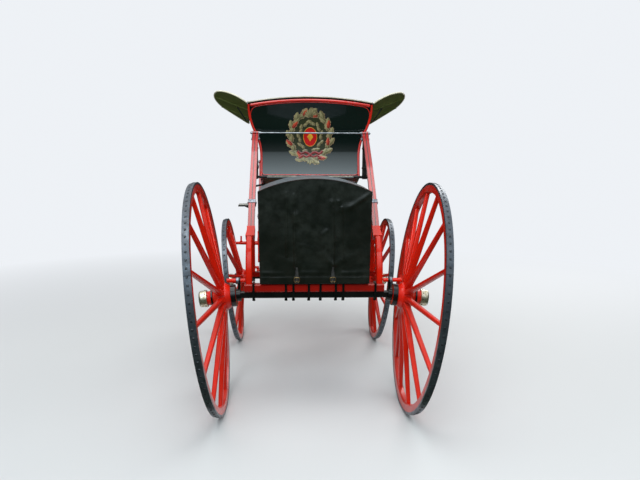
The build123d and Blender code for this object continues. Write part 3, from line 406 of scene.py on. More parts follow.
def paint(name, tone, marks=None, varnish=0.42, ripple=0.0006, dust_top=1.0, gloss=0.25, tint=white):
    """Coach paint. marks, if given, adds to the tree and gives a list of (mask, colour)."""
    t = Finish(name, Coat_Roughness=0.06, Specular_IOR_Level=gloss, Specular_Tint=tint)
    patch = t.uneven(0.35)
    dusty = t.times(t.dust(dust_top), 0.10)
    base = t.mixed(patch, tone, deeper(tone))
    for mask, other in marks(t) if marks else []:
        base = t.mixed(mask, base, other)
    return t.feed(
        Base_Color=t.mixed(dusty, base, dust_colour),
        Roughness=t.ramp(patch, 0.0, 1.0, 0.24, 0.36),
        Coat_Weight=t.ramp(dusty, 0.0, 0.10, varnish, varnish * 0.5),
        Normal=t.bump(t.noise(t.place(), 45.0)["Fac"], ripple),
    )


def worn(name, fresh, old, size, detail=6.0, rough=None, depth=None, **plain):
    """A finish whose patches differ in colour and, where they are given, roughness and height."""
    t = Finish(name, **plain)
    patch = t.uneven(size, detail)
    links = {"Base_Color": t.mixed(patch, colour(*fresh), colour(*old))}
    if rough:
        links["Roughness"] = t.ramp(patch, 0.0, 1.0, *rough)
    if depth:
        links["Normal"] = t.bump(patch, depth)
    return t.feed(**links)


def dress(made, *names):
    """Gives CAD nodes a material."""
    for name in names:
        for place in nodes[name].material_slots:
            place.material = made


red, black, red_sheen = colour(226, 32, 12), colour(9, 11, 12), (1.0, 0.22, 0.12, 1.0)
coach_red = paint("coach_red", red, tint=red_sheen)
coach_black = paint("coach_black", black, varnish=0.35, gloss=0.12)
# The hind bed and the trunk rails lie in the trunk's shade, so their red is painted darker than the rest:
# painted shade.
low_red = paint("low_red", colour(160, 20, 13), tint=red_sheen)
dress(low_red, "hind_bed", "trunk_rails")
dress(
    coach_red,
    "perch", "perch_wings", "transom", "fore_bed", "hind_bars", "fore_bars", "spring_posts", "futchells",
    "splinter_bar", "spring_stays",
)
dress(
    coach_black,
    "hind_axle", "fore_axle", "hind_clips", "fore_clips", "plate_lower", "plate_upper", "perch_bolt",
    "body_irons", "wing_stays", "body_floor", "step",
)
print("Paints:", [m.name for m in (coach_red, coach_black, low_red)])

# %% [markdown]
# ## Wheels
# A wheel's finish follows its own axle: the hoop of iron has a joint every seventh or sixth of a
# turn, the rim has one between each pair of felloes, and the nave has black bands and a brass
# cap. One material for each wheel, fed by the effect that knows its centre, draws all of these
# as masks, so the CAD pieces need no cutting.

# %% Wheel finishes
wheels = {  # places along the axle are measured out from the middle of the tyre
    "hind": dict(
        centre=(0.764864, -0.826633, 0.832613), tyre_r=0.838, joints=7, nails=98, cap=0.0062, cap_r=0.061,
        bands=((-0.2001, -0.1659, 0.0744), (-0.0341, -0.0219, 0.0553)),
    ),
    "fore": dict(
        centre=(0.738262, 1.013367, 0.599124), tyre_r=0.603, joints=6, nails=66, cap=0.0042, cap_r=0.054,
        bands=((-0.1801, -0.1459, 0.0664), (-0.0361, -0.0239, 0.0493)),
    ),
}
wheel_list = [(end, side) for end in wheels for side in sides]


def between(t, value, low, high):
    """1 where value lies between low and high, and 0 elsewhere."""
    return t.times(t.maths("GREATER_THAN", value, low), t.maths("LESS_THAN", value, high))


def joints_round(t, turn, wheel, width):
    """1 on the thin lines across a wheel's rim where its pieces meet, width metres wide."""
    part = t.maths("FRACT", t.maths("MULTIPLY_ADD", turn, wheel["joints"], 0.31))
    off = t.maths("ABSOLUTE", t.maths("SUBTRACT", part, 0.5))
    return t.maths("LESS_THAN", off, width / 2 * wheel["joints"] / (2 * pi * wheel["tyre_r"]))


def tyre_finish(name, wheel, here):
    """Worn iron with a little rust and a joint between strakes."""
    t = Finish(name)
    gap = joints_round(t, t.use(wheel_place, **here)["Turn"], wheel, 0.003)
    patch = t.uneven(0.05, 8.0)
    rusty = t.times(t.uneven(0.018, 6.0), 0.14)
    tone = t.mixed(rusty, t.mixed(patch, colour(96, 107, 117), colour(66, 74, 82)), colour(96, 66, 48))
    tone = t.mixed(t.times(t.dust(2.2), 0.1), tone, dust_colour)
    return t.feed(
        Base_Color=t.mixed(gap, tone, colour(18, 18, 18)),
        Metallic=t.ramp(rusty, 0.0, 0.14, 0.9, 0.6),
        Roughness=t.ramp(patch, 0.0, 1.0, 0.26, 0.46),
        Normal=t.bump(patch, 0.0006),
    )


def nave_finish(name, wheel, here):
    """Red paint with black bands and a tarnished brass cap."""
    t = Finish(name, Coat_Roughness=0.06, Specular_IOR_Level=0.25)
    where = t.use(wheel_place, **here)
    bands = []
    for low, high, r in wheel["bands"]:
        part = between(t, where["Along"], low, high)
        bands.append(t.times(part, t.maths("GREATER_THAN", where["Radius"], r)))
    cap = t.maths("GREATER_THAN", where["Along"], wheel["cap"])
    tarnish = t.uneven(0.02, 6.0)
    tone = t.mixed(t.uneven(0.2), red, deeper(red))
    tone = t.mixed(t.maths("MAXIMUM", *bands), tone, black)
    tone = t.mixed(cap, tone, t.mixed(tarnish, colour(236, 233, 214), colour(168, 156, 124)))
    return t.feed(
        Base_Color=tone,
        Metallic=t.times(cap, 0.95),
        Roughness=t.maths("MULTIPLY_ADD", cap, t.ramp(tarnish, 0.0, 1.0, -0.08, 0.14), 0.3),
        Coat_Weight=t.maths("MULTIPLY_ADD", cap, -0.3, 0.3),
        Normal=t.bump(tarnish, 0.0002),
    )


spoke_red = paint("spoke_red", red, dust_top=1.2, tint=red_sheen)
for end, side in wheel_list:
    wheel, tag = wheels[end], f"{end}_{side}"
    x, y, z = wheel["centre"]
    here = {"Centre": (sides[side] * x, y, z), "Side": float(sides[side])}

    def felloe_marks(t, here=here, wheel=wheel):
        """A dark line where two felloes meet."""
        line = joints_round(t, t.use(wheel_place, **here)["Turn"], wheel, 0.0016)
        return [(t.times(line, 0.8), colour(70, 6, 4))]

    dress(tyre_finish(f"tyre_iron_{tag}", wheel, here), f"tyre_{tag}")
    dress(paint(f"felloe_red_{tag}", red, felloe_marks, dust_top=1.2, tint=red_sheen), f"felloes_{tag}")
    dress(nave_finish(f"nave_{tag}", wheel, here), f"hub_{tag}")
    dress(spoke_red, f"spokes_{tag}")
print("Wheels dressed:", len(wheel_list))

# %% [markdown]
# ## Nails and screws
# A hoop of strakes is held by a nail every few centimetres, with a square head that wears
# bright, and each nave cap by eight screws. Geometry Nodes suit such rings: a circle gives the
# places, a short cone gives the head, and each head is turned to face outwards. The same tree
# makes square nails and round screws, because a cone of four sides is a square head.


# %% Repeats
class Repeat(Tree):
    """A Geometry Nodes tree that sets copies of a shape on points, with named inputs."""

    def __init__(self, name, **inputs):
        super().__init__(bpy.data.node_groups.new(name, "GeometryNodeTree"))
        new_socket = self.tree.interface.new_socket
        for key, kind in ({"Geometry": "Geometry"} | inputs | {"Finish": "Material"}).items():
            new_socket(name=key.replace("_", " "), in_out="INPUT", socket_type=f"NodeSocket{kind}")
        new_socket(name="Geometry", in_out="OUTPUT", socket_type="NodeSocketGeometry")
        self.given = self.tree.nodes.new("NodeGroupInput").outputs

    def turned(self, vector, axis, **more):
        """The turn that points an axis along a vector."""
        inputs = {"Vector": vector} | more.pop("inputs", {})
        return self.add("FunctionNodeAlignRotationToVector", inputs, axis=axis, **more)[0]

    def cone(self, sides, r, share, rise):
        """A short cone whose top is a share of its foot."""
        top = self.times(r, share)
        inputs = {"Vertices": sides, "Radius Top": top, "Radius Bottom": r, "Depth": rise}
        return self.add("GeometryNodeMeshCone", inputs)["Mesh"]

    def stamped(self, points, shape, **turn):
        """Ends the tree: the copies are made real, and their material is set last."""
        copies = self.add("GeometryNodeInstanceOnPoints", {"Points": points, "Instance": shape} | turn)[0]
        real = self.add("GeometryNodeRealizeInstances", {"Geometry": copies})[0]
        dressed = self.add("GeometryNodeSetMaterial", {"Geometry": real, "Material": self.given["Finish"]})[0]
        self.tree.links.new(dressed, self.tree.nodes.new("NodeGroupOutput").inputs[0])

    def grown(self, mesh=None, **inputs):
        """The plain mesh that the tree makes from the given inputs."""
        carrier = placed("carrier", mesh or bpy.data.meshes.new("carrier"))
        modifier = carrier.modifiers.new("nodes", "NODES")
        modifier.node_group = self.tree
        for item in self.tree.interface.items_tree:
            key = item.name.replace(" ", "_")
            if item.in_out == "INPUT" and key in inputs:
                modifier[item.identifier] = inputs[key]
        carrier.update_tag()
        return evaluated(carrier)


def piece(name, mesh, finish=None, sharp=60, body="carriage"):
    """A finished piece that rides on a body, shaded smooth except at sharp edges."""
    made = placed(name, mesh)
    if finish:
        mesh.materials.clear()
        mesh.materials.append(finish)
    mesh.shade_smooth()
    mesh.set_sharp_from_angle(angle=radians(sharp))
    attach(made, body)
    return made


print("Repeat methods:", sorted(name for name in vars(Repeat) if not name.startswith("_")))

# %% Nails and screws
ring = Repeat("ring_of_heads", Count="Int", Radius="Float", Sides="Int", Head="Float", Rise="Float")
circle = ring.add("GeometryNodeMeshCircle", {"Vertices": ring.given["Count"], "Radius": ring.given["Radius"]})
head = ring.cone(ring.given["Sides"], ring.given["Head"], 0.62, ring.given["Rise"])
outwards = ring.turned(ring.add("GeometryNodeInputPosition")[0], "Z")
square = ring.turned((0, 0, 1), "X", pivot_axis="Z", inputs={"Rotation": outwards})
quarter = {0: square, 1: (0, 0, pi / 4)}
diagonal = ring.add("FunctionNodeRotateRotation", quarter, rotation_space="LOCAL")[0]
ring.stamped(circle["Mesh"], head, Rotation=diagonal)


def wheel_matrix(end, side, along=0.0):
    """Puts a ring about Z on a wheel's own axle, along metres out from its middle."""
    x, y, z = wheels[end]["centre"]
    axle = Vector((sides[side] * cos(camber), 0, -sin(camber)))
    turned = axle.to_track_quat("Z", "Y").to_matrix().to_4x4()
    return Matrix.Translation(Vector((sides[side] * x, y, z)) + axle * along) @ turned


nail_steel = worn("nail_steel", (70, 75, 80), (22, 24, 27), 0.01, rough=(0.3, 0.55), Metallic=0.5)
cap_steel = worn("cap_screw_brass", (120, 104, 72), (62, 52, 36), 0.006, rough=(0.3, 0.5), Metallic=0.95)
cap_screws, cap_face = 8, 0.014  # the screws' count, and their place out from the cap's foot
nail = dict(Sides=4, Head=0.0104, Rise=0.0030, Finish=nail_steel)
screw = dict(Sides=10, Head=0.0046, Rise=0.003, Finish=cap_steel)
for end, side in wheel_list:
    wheel, tag = wheels[end], f"{end}_{side}"
    nails = ring.grown(Count=wheel["nails"], Radius=wheel["tyre_r"] + 0.0004, **nail)
    nails.transform(wheel_matrix(end, side))
    piece(f"tyre_nails_{tag}", nails, sharp=20, body=f"wheel_{tag}")
    screws = ring.grown(Count=cap_screws, Radius=wheel["cap_r"] - 0.0002, **screw)
    screws.transform(wheel_matrix(end, side, wheel["cap"] + cap_face))
    piece(f"cap_screws_{tag}", screws, sharp=20, body=f"wheel_{tag}")
print("Nails and screws:", sum(wheels[end]["nails"] + cap_screws for end, side in wheel_list))

# %% [markdown]
# ## Springs
# A whip spring is a stack of bent steel leaves, painted like the wheels, with a dark line down
# the middle of its outer face, and painted shade along its edges, where the leaves lie on each
# other. The line and the shade are masks on how far a point lies from the spring's own middle plane.

# %% Spring finish
spring_x = 0.466


def spring_marks(t):
    """The dark middle line of the springs, and the painted shade between their leaves."""
    off = t.maths("ABSOLUTE", t.maths("SUBTRACT", t.maths("ABSOLUTE", t.axes(t.place())["X"]), spring_x))
    middle = t.maths("LESS_THAN", off, 0.0036)
    # Painted shade: the edges are darkened where the leaves lie on each other.
    edge = t.times(between(t, off, 0.0215, 0.0262), 0.55)
    return [(middle, colour(60, 20, 18)), (edge, colour(70, 8, 6))]


spring_red = paint("spring_red", colour(176, 20, 16), spring_marks, varnish=0.85, gloss=0.35)
dress(spring_red, "hind_springs", "fore_springs")
dress(paint("shoe_red", red, tint=red_sheen), "spring_feet")
steel = ((150, 156, 160), (104, 110, 114))
bright = worn("bright_steel", *steel, 0.03, 8.0, (0.28, 0.46), 0.0002, Metallic=0.95)
dress(bright, "head_rods", "shackles")
print("Spring finish:", spring_red.name)

# %% [markdown]
# ## Body shape helpers
# Mouldings, painted lines and the wings all follow the body, so the body's own rules are
# repeated here: the flare of its sides in the back view is two equal arcs, and an edge in the
# side view is an arc through three points. Points are then laid on the real panel by a ray, so
# that a line follows the panel however it bends.

# %% Body shape
body_low, body_top = 0.430, 0.532
ogee_low, ogee_high, corner_z, crown = 1.830, 2.250, 2.290, 0.048


def flare_x(z):
    """Half the body's outside width at height z."""
    spread, rise = (body_top - body_low) / 2, (ogee_high - ogee_low) / 2
    r = (spread**2 + rise**2) / (2 * spread)
    if z <= ogee_low:
        return body_low
    if z >= ogee_high:
        return body_top
    if z <= (ogee_low + ogee_high) / 2:
        return body_low + r - sqrt(r**2 - (z - ogee_low) ** 2)
    return body_top - r + sqrt(r**2 - (ogee_high - z) ** 2)


def arc(start, through, end, count):
    """Points on the arc through three points of a plane."""
    (ax, ay), (bx, by), (cx, cy) = start, through, end
    twice = 2 * (ax * (by - cy) + bx * (cy - ay) + cx * (ay - by))
    sa, sb, sc = ax**2 + ay**2, bx**2 + by**2, cx**2 + cy**2
    ox = (sa * (by - cy) + sb * (cy - ay) + sc * (ay - by)) / twice
    oy = (sa * (cx - bx) + sb * (ax - cx) + sc * (bx - ax)) / twice
    r, first = hypot(ax - ox, ay - oy), atan2(ay - oy, ax - ox)
    turn = (atan2(cy - oy, cx - ox) - first) % (2 * pi)
    if (atan2(by - oy, bx - ox) - first) % (2 * pi) > turn:
        turn -= 2 * pi
    angles = [first + turn * i / count for i in range(count + 1)]
    return [(ox + r * cos(a), oy + r * sin(a)) for a in angles]


print("Half width at the seat and the top:", round(flare_x(1.9), 3), round(flare_x(2.25), 3))


# %% Laying, tubes and joining
def surface_of(mesh):
    """A search tree over a mesh's faces."""
    points = [v.co.copy() for v in mesh.vertices]
    return BVHTree.FromPolygons(points, [list(f.vertices) for f in mesh.polygons])


def laid(surface, points, direction, lift, start=2.0):
    """Points moved along a direction onto a surface, and then lifted off it."""
    direction = Vector(direction)
    hits = [surface.ray_cast(Vector(point) - direction * start, direction)[0] for point in points]
    return [hit - direction * lift for hit in hits if hit is not None]


def tube(points, r, closed=False, sides=2):
    """The mesh of a round bead along points."""
    data = bpy.data.curves.new("bead", "CURVE")
    data.dimensions, data.bevel_depth, data.bevel_resolution = "3D", r, sides
    data.use_fill_caps = not closed
    line = data.splines.new("POLY")
    line.points.add(len(points) - 1)
    for spot, point in zip(line.points, points):
        spot.co = (*point, 1)
    line.use_cyclic_u = closed
    return evaluated(placed("bead", data))


def joined(meshes):
    """Several meshes in one, with their materials dropped."""
    whole = bmesh.new()
    for mesh in meshes:
        whole.from_mesh(mesh)
    return mesh_of(whole, "joined")


def merged(mesh):
    """A mesh as a bmesh, with points that coincide made into one."""
    shape = bmesh.new()
    shape.from_mesh(mesh)
    bmesh.ops.remove_doubles(shape, verts=shape.verts, dist=0.00002)
    return shape


back_panel = surface_of(nodes["body_back"].data)
print("Back panel's faces:", len(nodes["body_back"].data.polygons))

# %% [markdown]
# ## Trunk leather
# The trunk is a hollow case covered in soft black leather, and its open back is closed by a
# leather flap that hangs from the arched rim and is buckled below. The flap is one sheet, cut
# to the shape of the back. It could be simulated, but the real creases are few and each has a
# cause: the two straps pull folds up from the buckles, and one corner of the rim pulls a fold
# across. So the flap is a grid whose points are pushed out along such folds, listed in a table,
# and a little noise makes it uneven.


# %% Leathers
def leather(
    name, tone, rubbed, grain, gloss=(0.38, 0.6), depth=0.0006, dust=0.3, patches=0.16, sky_sheen=None, **plain
):
    """Leather: grain, paler rougher patches, road dust, and a painted sky reflection that lightens what faces
    up.
    """
    t = Finish(name, Specular_IOR_Level=0.24, **plain)
    skin = t.use(leather_grain, Size=grain)
    patch = t.uneven(patches, 6.0)
    dusty = t.times(t.dust(2.0), dust)
    wear = t.times(patch, skin["Share"])
    tone = t.mixed(dusty, t.mixed(wear, colour(*tone), colour(*rubbed)), dust_colour)
    # Painted reflection: faces that look up are lightened towards the grey of the sky.
    if sky_sheen:
        faded = t.times(t.ramp(t.facing_up(), 0.3, 1.0), t.ramp(patch, 0.0, 1.0, 0.5, 0.75))
        tone = t.mixed(faded, tone, colour(*sky_sheen))
    return t.feed(
        Base_Color=tone,
        Roughness=t.ramp(wear, 0.0, 1.0, *gloss),
        Normal=t.bump(skin["Height"], depth, 0.6),
    )


trunk_black = leather("trunk_leather", (13, 18, 12), (28, 34, 27), 0.004, (0.3, 0.5), dust=0.03, patches=0.4)
edge_brown = leather("edge_leather", (26, 20, 17), (64, 45, 35), 0.003, dust=0.05)
# The strap leather is painted dark grey, lighter than the black flap: black leather with a painted sheen.
strap_sheen_grey = leather("strap_leather", (40, 41, 42), (84, 84, 82), 0.0025, (0.25, 0.45), dust=0.08)
# The lid's upward faces are painted pale grey: a painted reflection of the sky.
sky_sheen = (118, 126, 132)
lid_black = leather("lid_leather", (14, 17, 14), (40, 44, 42), 0.004, (0.3, 0.5), dust=0.1, sky_sheen=sky_sheen)
dress(lid_black, "trunk_case")
print("Leathers:", [m.name for m in (trunk_black, edge_brown, strap_sheen_grey)])

# %% Flap folds
trunk_floor, trunk_side, trunk_top = 0.9473, 1.6093, 1.6993
flap_low_half, flap_high_half, flap_y, flap_foot = 0.390, 0.402, -0.8853, 0.002
hem_z = 1.000
strap_xs = (-0.129, 0.129)
folds = [  # from (x, z), to (x, z), half width and height
    ((0.385, 1.590), (0.245, 1.500), 0.017, 0.0050),
    ((0.250, 1.505), (0.150, 1.470), 0.026, 0.0026),
    ((-0.140, 1.075), (-0.150, 1.590), 0.0075, 0.0040),
    ((-0.200, 1.150), (-0.205, 1.600), 0.0070, 0.0036),
    ((-0.132, 1.080), (-0.120, 1.300), 0.020, 0.0030),
    ((0.128, 1.080), (0.070, 1.170), 0.020, 0.0034),
    ((0.130, 1.080), (0.128, 1.500), 0.0080, 0.0034),
    ((0.190, 1.500), (0.196, 1.100), 0.0070, 0.0026),
    ((-0.138, 1.440), (-0.128, 1.400), 0.026, 0.0036),
    ((0.118, 1.535), (0.114, 1.480), 0.020, 0.0034),
    ((0.165, 1.540), (0.172, 1.480), 0.016, 0.0030),
    ((0.080, 1.330), (0.035, 1.290), 0.016, 0.0026),
    ((-0.380, 1.030), (-0.230, 1.026), 0.012, 0.0022),
    ((-0.090, 1.032), (0.090, 1.030), 0.012, 0.0016),
    ((0.200, 1.028), (0.370, 1.030), 0.012, 0.0022),
    ((-0.120, 1.090), (-0.250, 1.140), 0.024, 0.0026),
    ((0.140, 1.090), (0.260, 1.150), 0.024, 0.0026),
    ((-0.100, 1.230), (-0.020, 1.215), 0.014, 0.0016),
]


def flap_edge(x):
    """The height of the arched rim at x."""
    rise = trunk_top - trunk_side
    r = (flap_high_half**2 + rise**2) / (2 * rise)
    return trunk_top - r + sqrt(r**2 - x**2)


def beside(a, b, start, end):
    """How far along a line a point lies, from 0 to 1, and how far off the line it is."""
    (a0, b0), (a1, b1) = start, end
    long = (a1 - a0) ** 2 + (b1 - b0) ** 2
    share = max(0.0, min(1.0, ((a - a0) * (a1 - a0) + (b - b0) * (b1 - b0)) / long))
    return share, hypot(a - a0 - share * (a1 - a0), b - b0 - share * (b1 - b0))


def fold_out(x, z):
    """How far the flap stands out at a place on it. A fold fades from its start to its end."""
    out = 0.0
    for start, end, width, height in folds:
        share, off = beside(x, z, start, end)
        out += 1.7 * height * (1.0 - 0.6 * share) * exp(-((off / width) ** 2))
    out += 0.0022 * noise.noise(Vector((x * 5, z * 6, 1.3)))
    out += 0.0011 * noise.noise(Vector((x * 19, z * 15, 4.1)))
    rim = min(flap_high_half - abs(x), flap_edge(x) - z)
    return out * min(1.0, max(0.0, rim / 0.05))


print("Folds:", len(folds))


# %% Trunk flap
def woven(table, closed=False):
    """Faces over a table of points, with a UV map. A closed one joins its last row to its first."""
    shape = bmesh.new()
    uv = shape.loops.layers.uv.new("UVMap")
    rows = [[shape.verts.new(point) for point in row] for row in table]
    wide, high = len(rows[0]) - 1, len(rows) if closed else len(rows) - 1
    for j in range(high):
        row, after = rows[j], rows[(j + 1) % len(rows)]
        for i in range(wide):
            face = shape.faces.new((row[i], row[i + 1], after[i + 1], after[i]))
            for loop, (a, b) in zip(face.loops, ((i, j), (i + 1, j), (i + 1, j + 1), (i, j + 1))):
                loop[uv].uv = (a / wide, b / high)
    return shape


def grid_mesh(columns, rows, place):
    """A grid whose points come from place(u, v), with u and v from 0 to 1, and its UV map."""
    table = [[place(i / columns, j / rows) for i in range(columns + 1)] for j in range(rows + 1)]
    return mesh_of(woven(table), "grid")


def flap_place(u, v):
    """A point of the flap, u across it and v up it."""
    across, foot = 2 * u - 1, trunk_floor + flap_foot
    z = foot + v * (flap_edge(across * flap_high_half) - trunk_floor - flap_foot)
    x = across * (flap_low_half + (flap_high_half - flap_low_half) * v)
    hem = -0.0018 if z < hem_z else 0.0
    seam = 0.0012 * exp(-(((z - hem_z) / 0.0035) ** 2))
    return (x, flap_y + hem + seam - fold_out(x, z), z)


def thicken(made, thickness, offset=0.0):
    """Gives a sheet its thickness."""
    modifier = made.modifiers.new("thickness", "SOLIDIFY")
    modifier.thickness, modifier.offset = thickness, offset


flap = piece("flap_sheet", grid_mesh(150, 150, flap_place), trunk_black, 80)
thicken(flap, 0.0022)
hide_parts("trunk_flap")
rim = [(x, flap_y - 0.001, flap_edge(x) - 0.001) for x in [flap_high_half * (i / 30) for i in range(-30, 31)]]
feet = [(side * flap_low_half, flap_y, trunk_floor + 0.003) for side in (-1, 1)]
welt = piece("flap_welt", tube([feet[0], *rim, feet[1]], 0.0034), edge_brown, 35)
print("Flap points:", len(flap.data.vertices))

# %% [markdown]
# ## Stitches
# Harness makers sew with waxed thread, several stitches to the inch, and the row of short
# stitches is what makes a strap read as leather. Geometry Nodes lay them: a line is cut into
# equal lengths, and each point gets a small thread bead turned along the line.

# %% Stitches
sewn = Repeat("stitch_row", Spacing="Float", Length="Float", Thread="Float")
line = sewn.add("GeometryNodeMeshToCurve", {"Mesh": sewn.given["Geometry"]})[0]
parts = {"Curve": line, "Length": sewn.given["Spacing"]}
cut = sewn.add("GeometryNodeResampleCurve", parts, mode="LENGTH")[0]
spots = sewn.add("GeometryNodeCurveToPoints", {"Curve": cut}, mode="EVALUATED")
bead = {"Segments": 6, "Rings": 4, "Radius": sewn.given["Thread"]}
stretch = sewn.maths("DIVIDE", sewn.given["Length"], sewn.times(sewn.given["Thread"], 2.0))
size = sewn.add("ShaderNodeCombineXYZ", {0: 1.0, 1: 1.0, 2: stretch})[0]
thread = {"Geometry": sewn.add("GeometryNodeMeshUVSphere", bead)["Mesh"], "Scale": size}
long = sewn.add("GeometryNodeTransform", thread)[0]
sewn.stamped(spots["Points"], long, Rotation=sewn.turned(spots["Tangent"], "Z"))
pale_thread = worn("pale_thread", (150, 138, 112), (96, 86, 68), 0.004, 3.0, Roughness=0.7)


def stitches(name, lines, spacing=0.0045, length=0.0032, thread=0.0006, finish=pale_thread):
    """Stitches along one or more rows of points, as one piece."""
    points, edges = [], []
    for line in lines:
        edges += [(len(points) + i, len(points) + i + 1) for i in range(len(line) - 1)]
        points += [tuple(p) for p in line]
    made = bpy.data.meshes.new("line")
    made.from_pydata(points, edges, [])
    return piece(name, sewn.grown(made, Spacing=spacing, Length=length, Thread=thread, Finish=finish))


stitch_z = hem_z + 0.006
hem_line = [(x / 100, flap_y - 0.0032 - fold_out(x / 100, stitch_z), stitch_z) for x in range(-38, 39)]
hem_stitches = stitches("flap_hem_stitches", [hem_line], 0.006, thread=0.0008, finish=strap_sheen_grey)
print("Hem stitches:", len(hem_stitches.data.polygons) // 24)

# %% [markdown]
# ## Trunk straps and buckles
# Each strap is a short leather tongue sewn to the flap, wide at its brass buckle and narrow at
# its top. The buckle is a bent wire frame with two lobes below and a tongue, so a thick round
# line along its bends is the right form for it.

# %% Trunk straps
brass = worn("old_brass", (176, 152, 104), (92, 78, 54), 0.012, rough=(0.24, 0.5), Metallic=0.95)


def smooth_line(points, count, closed=False):
    """Points on a smooth curve through the given ones."""
    made, total = [], len(points)
    for i in range(total if closed else total - 1):
        near = [(i + k) % total if closed else min(max(i + k, 0), total - 1) for k in (-1, 0, 1, 2)]
        corners = list(zip(*(points[k] for k in near)))
        for t in [k / count for k in range(count)]:
            spot = []
            for p, q, r, s in corners:
                square, cube = (2 * p - 5 * q + 4 * r - s) * t**2, (3 * q - p - 3 * r + s) * t**3
                spot.append(0.5 * (2 * q + (r - p) * t + square + cube))
            made.append(tuple(spot))
    return made if closed else made + [tuple(points[-1])]


def taper(v):
    """How far a strap has narrowed at v up it, from 0 to 1."""
    return max(0.0, (v - 0.25) / 0.75) ** 1.4


strap_low, strap_high, buckle_z = 0.952, 1.068, 0.981
strap_rise = strap_high - strap_low
buckle_half = [(0.0190, 0.010), (0.0200, -0.002), (0.0165, -0.014), (0.0080, -0.0180)]
buckle_foot, buckle_top = [(0, -0.0105)], [(0.0100, 0.0160), (-0.0100, 0.0160)]
buckle = [(-a, b) for a, b in buckle_half] + buckle_foot + buckle_half[::-1] + buckle_top
prong = ((0.001, 0.016), (-0.0025, 0.004), (-0.0015, -0.012))  # out and up
strap_meshes, buckle_meshes, strap_lines = [], [], []
for x in strap_xs:

    def strap_place(u, v, x=x):
        """A point of the strap: it narrows upwards and is thicker along its middle."""
        across, z = 2 * u - 1, strap_low + strap_rise * v
        swell = 0.0022 * (1 - across**2)
        return (x + across * (0.0150 - 0.0090 * taper(v)), flap_y - 0.0052 - swell - fold_out(x, z), z)

    strap_meshes.append(grid_mesh(8, 30, strap_place))
    y = flap_y - 0.0115
    wire = smooth_line([(x + a, y, buckle_z + b) for a, b in buckle], 6, True)
    tongue = smooth_line([(x, y + a, buckle_z + b) for a, b in prong], 4)
    buckle_meshes += [tube(wire, 0.0027, closed=True), tube(tongue, 0.0016)]
    for side in (-1, 1):
        line = []
        for v in [0.40 + 0.55 * k / 12 for k in range(13)]:
            z = strap_low + strap_rise * v
            line.append((x + side * (0.0118 - 0.0088 * taper(v)), flap_y - 0.0068 - fold_out(x, z), z))
        strap_lines.append(line)
straps = piece("trunk_strap_leather", joined(strap_meshes), strap_sheen_grey)
thicken(straps, 0.0038, -1.0)
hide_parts("trunk_straps")
piece("trunk_buckles", joined(buckle_meshes), brass)
stitches("trunk_strap_stitches", strap_lines, finish=strap_sheen_grey)
print("Straps:", len(strap_meshes), "buckle parts:", len(buckle_meshes))

# %% [markdown]
# ## Body panels
# The body has the darkest and smoothest paint on the carriage: a green that is nearly black,
# rubbed down and varnished until it mirrors. The same paint serves, with a deeper tone and
# almost no ripple. Its floor and irons stay black.

# %% Body paint
panel_green = paint("panel_green", colour(13, 25, 22), varnish=1.0, ripple=0.0001, dust_top=0.2, gloss=0.04)
dress(panel_green, "body_back", "body_sides", "toe_board", "seat_board")
print("Body panels:", panel_green.name)

# %% [markdown]
# ## Mouldings and painted lines
# A coach body is outlined by round wooden mouldings, picked out in the colour of the wheels,
# with a black frame and a fine line inside them. Each of these follows the panel's edge at its
# own distance. One function gives such an outline in the back view, and every point of it is
# then laid on the real, hollow panel. A bead is a tube sunk so far that only its crown shows.

# %% Back panel outlines
back_low_z = 1.652
crown_r = (body_top**2 + crown**2) / (2 * crown)


def crown_z(x):
    """The height of the back panel's top edge at x."""
    return corner_z + crown - crown_r + sqrt(crown_r**2 - x**2)


def bend(start, corner, end, count=8):
    """Points from start to end that round off a corner."""

    def spot(t):
        return tuple(a * (1 - t) ** 2 + 2 * b * t * (1 - t) + c * t**2 for a, b, c in zip(start, corner, end))

    return [spot(i / count) for i in range(count + 1)]


def steps(start, end, size=0.02):
    """Numbers from start to end, about size apart."""
    count = max(1, round(abs(end - start) / size))
    return [start + (end - start) * i / count for i in range(count + 1)]


def panel_half(side, top, low, corner, foot):
    """The right half of an outline inside the panel's edge, from its bottom to its top middle."""
    base, edge = back_low_z + low, flare_x(back_low_z + low) - side
    high = crown_z(body_top - side) - top
    side_end = (flare_x(high - corner) - side, high - corner)
    top_start = (body_top - side - corner, crown_z(body_top - side - corner) - top)
    made = [(x, base) for x in steps(0, edge - foot)]
    made += bend((edge - foot, base), (edge, base), (edge, base + foot))[1:]
    made += [(flare_x(z) - side, z) for z in steps(base + foot, side_end[1])[1:]]
    made += bend(side_end, (body_top - side, high), top_start)[1:]
    return made + [(x, crown_z(x) - top) for x in steps(top_start[0], 0)[1:]]


def on_back(points, lift):
    """Points of the back view laid on the back panel and lifted off it."""
    return laid(back_panel, [(x, 0, z) for x, z in points], (0, 1, 0), lift)


def evenly(points, count):
    """Points spaced evenly along a row of points."""
    lengths = [dist(a, b) for a, b in zip(points, points[1:])]
    total, made = sum(lengths), []
    for k in range(count + 1):
        left = total * k / count
        for (a, b), long in zip(zip(points, points[1:]), lengths):
            if left <= long + 1e-9:
                made.append(tuple(p + (q - p) * left / long for p, q in zip(a, b)))
                break
            left -= long
        else:
            made.append(tuple(points[-1]))
    return made


def closed_evenly(points, count):
    """Points spaced evenly round a closed outline."""
    return evenly([*points, points[0]], count)[:-1]


print("Top edge at the middle and the corner:", round(crown_z(0), 3), round(crown_z(body_top), 3))

